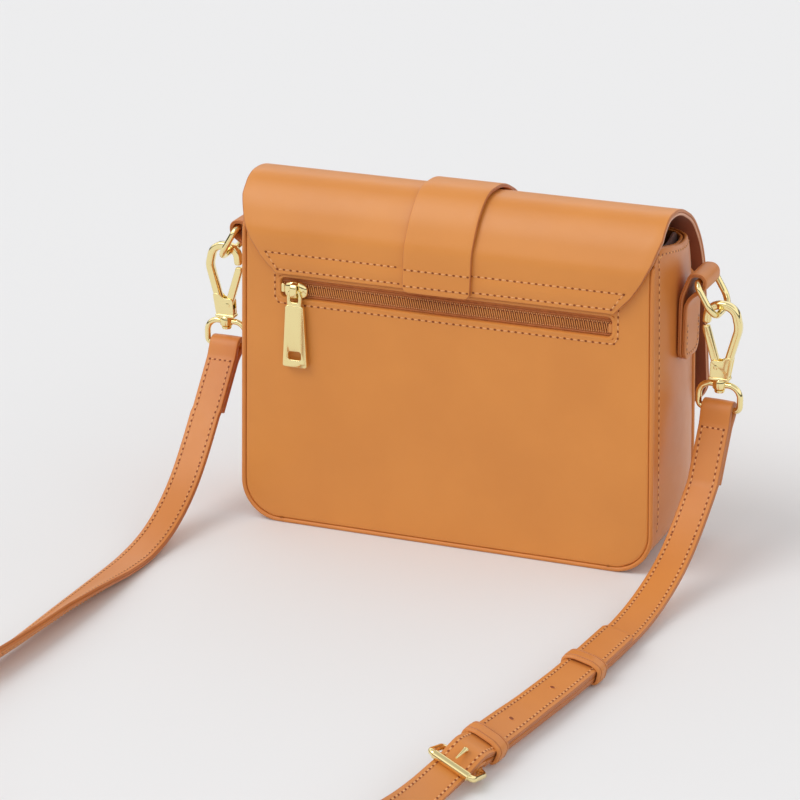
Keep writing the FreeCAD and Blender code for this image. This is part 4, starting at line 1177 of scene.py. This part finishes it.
def build_prong(place):
    """A tapered bar over the front bar, with an eye rolled round the buckle's back bar."""
    origin, along, side, up = place
    prong = Piece("prong")
    line = rounded([(0.0, 2.3), (2.6, 7.0), (3.8, 8.4), (11.6, 7.2)], [0, 3, 2, 0], step=0.4)
    spots = np.array([origin + along * a + up * b for a, b in line])
    widths = [1.12] * (len(spots) - 2) + [0.85, 0.35]
    prong.loft([circle(spot, wide * 0.95 * unit(np.cross(side, ahead)), wide * 1.1 * side, 10)
                for spot, ahead, wide in zip(spots, directions(spots), widths)], GOLD)
    eye = ((-1.1, 1.65), (-1.1, 2.7), (-0.9, 2.9), (0.9, 2.9), (1.1, 2.7), (1.1, 1.65))
    prong.loft([circle(origin + side * s, r * along, r * up, 16) for s, r in eye], GOLD, loop=True)
    prong.make("prong", "buckle_prong", slot="gold_metal")


def build_buckle_fold(place):
    """The short strap's end folded round the buckle's back bar, on both sides of the prong."""
    origin, along, side, up = place
    fold = Piece("buckle_fold_leather")
    for low, high in ((-STRAP_WIDTH / 2, -1.8), (1.8, STRAP_WIDTH / 2)):
        middle = origin + side * (low + high) / 2
        line = [middle - along * 5.0 + up * 1.6]
        line += [middle + 2.85 * (cos(t) * along + sin(t) * up)
                 for t in np.linspace(radians(100), radians(-100), 20)]
        line += [middle - along * 5.0 - up * 1.4]
        band(fold, np.array(line), side, (high - low) / 2, -1.1, 1.1, TAN_STRAP, edge=0.5, step=0.8,
             across=3)
    fold.make("bag", "buckle_fold")


# ---- set
def studio_world():
    """Sky light that changes with height: dark near the horizon, bright above it, dimmer overhead."""
    world = bpy.data.worlds.new("studio")
    bpy.context.scene.world = world
    world.use_nodes = True
    place = add_node(world, "TexCoord").outputs["Generated"]
    split = add_node(world, "SeparateXYZ", sources={"Vector": place})
    ramp = add_node(world, "ValToRGB", sources={"Fac": split.outputs["Z"]})
    bands = [(0.0, 0.02), (0.13, 0.03), (0.24, 0.85), (0.34, 1.0), (0.62, 1.0), (0.80, 0.55), (1.0, 0.50)]
    for i, (height, level) in enumerate(bands):
        element = ramp.color_ramp.elements[i] if i < 2 else ramp.color_ramp.elements.new(height)
        element.position = height
        element.color = (level, level, level * 1.01, 1)
    background = world.node_tree.nodes["Background"]
    background.inputs["Strength"].default_value = WORLD_LIGHT
    world.node_tree.links.new(ramp.outputs["Color"], background.inputs["Color"])


def build_set():
    """Plain pale floor, soft lights and the camera."""
    bpy.ops.mesh.primitive_plane_add(size=60, location=(0, 0, 0))
    floor = bpy.context.object
    floor.name = "floor"
    floor.data.materials.append(new_material("pale floor", (0.80, 0.80, 0.80), 0.95))
    light = bpy.data.lights.new("key", "SUN")
    light.energy, light.angle = SUN_LIGHT, radians(35)
    lamp = bpy.data.objects.new("key", light)
    lamp.rotation_euler = Vector((0.8, 0.9, 1.6)).to_track_quat("Z", "Y").to_euler()
    bpy.context.collection.objects.link(lamp)
    studio_world()
    lens = bpy.data.cameras.new("camera")
    lens.lens, lens.sensor_width = CAMERA_LENS, 36.0
    lens.clip_start, lens.clip_end = 0.05, 100
    camera = bpy.data.objects.new("camera", lens)
    place = Vector([c * MM for c in CAMERA_AT])
    camera.location = place
    camera.rotation_mode = "QUATERNION"
    camera.rotation_quaternion = (Vector([c * MM for c in CAMERA_TO]) - place).to_track_quat("-Z", "Y")
    bpy.context.collection.objects.link(camera)
    bpy.context.scene.camera = camera
    bpy.context.scene.view_settings.view_transform = "Standard"


def dress_frame():
    """Materials for the CAD nodes that stay in view."""
    for name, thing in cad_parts.items():
        material = GOLD
        if name in ("lining", "zip_pocket"):
            material = LINING
        if name in ("back_stiffener", "front_stiffener", "base_board"):
            material = BOARD
        thing.data.materials.clear()
        thing.data.materials.append(material)


dress_frame()
build_back()
build_window()
build_front()
build_binding("binding_back", GUSSET_HIGH, BACK_FACE + 0.5, BACK_BINDING_TOP, back_edge)
build_binding("binding_front", FRONT_FACE - 0.5, GUSSET_LOW, FRONT_BINDING_TOP, front_edge)
build_gusset()
build_zip()
build_slider()
build_puller()
for leather in (*build_flap(), build_belt()):
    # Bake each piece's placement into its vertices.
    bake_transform(leather)
build_closure()
for hand in ("left", "right"):
    build_tab(hand)
    build_ring(hand)
    build_hook(hand)
    build_hook_parts(hand)
    build_loop(hand)
build_strap("left", LONG_ROUTE + TAIL_ROUTE[1:], LONG_ROLL + TAIL_ROLL[1:], ["strap_long", "strap_tail"])
build_strap("right", SHORT_ROUTE, SHORT_ROLL, ["strap_short"])
sliding = strap_frame(KEEPER_SLIDING, KEEPER_SLIDING_AIM, KEEPER_ROLL)
build_keeper("keeper_slide_leather", "keeper_sliding", "keeper", sliding)
before_buckle = np.array(BUCKLE_POINT) - KEEPER_GAP * unit(BUCKLE_AIM)
fixed = strap_frame(before_buckle, BUCKLE_AIM, BUCKLE_ROLL)
build_keeper("keeper_fixed_leather", "keeper_fixed", "bag", fixed)
at_buckle = strap_frame(BUCKLE_POINT, BUCKLE_AIM, BUCKLE_ROLL)
build_buckle(at_buckle)
build_prong(at_buckle)
build_buckle_fold(at_buckle)
build_set()
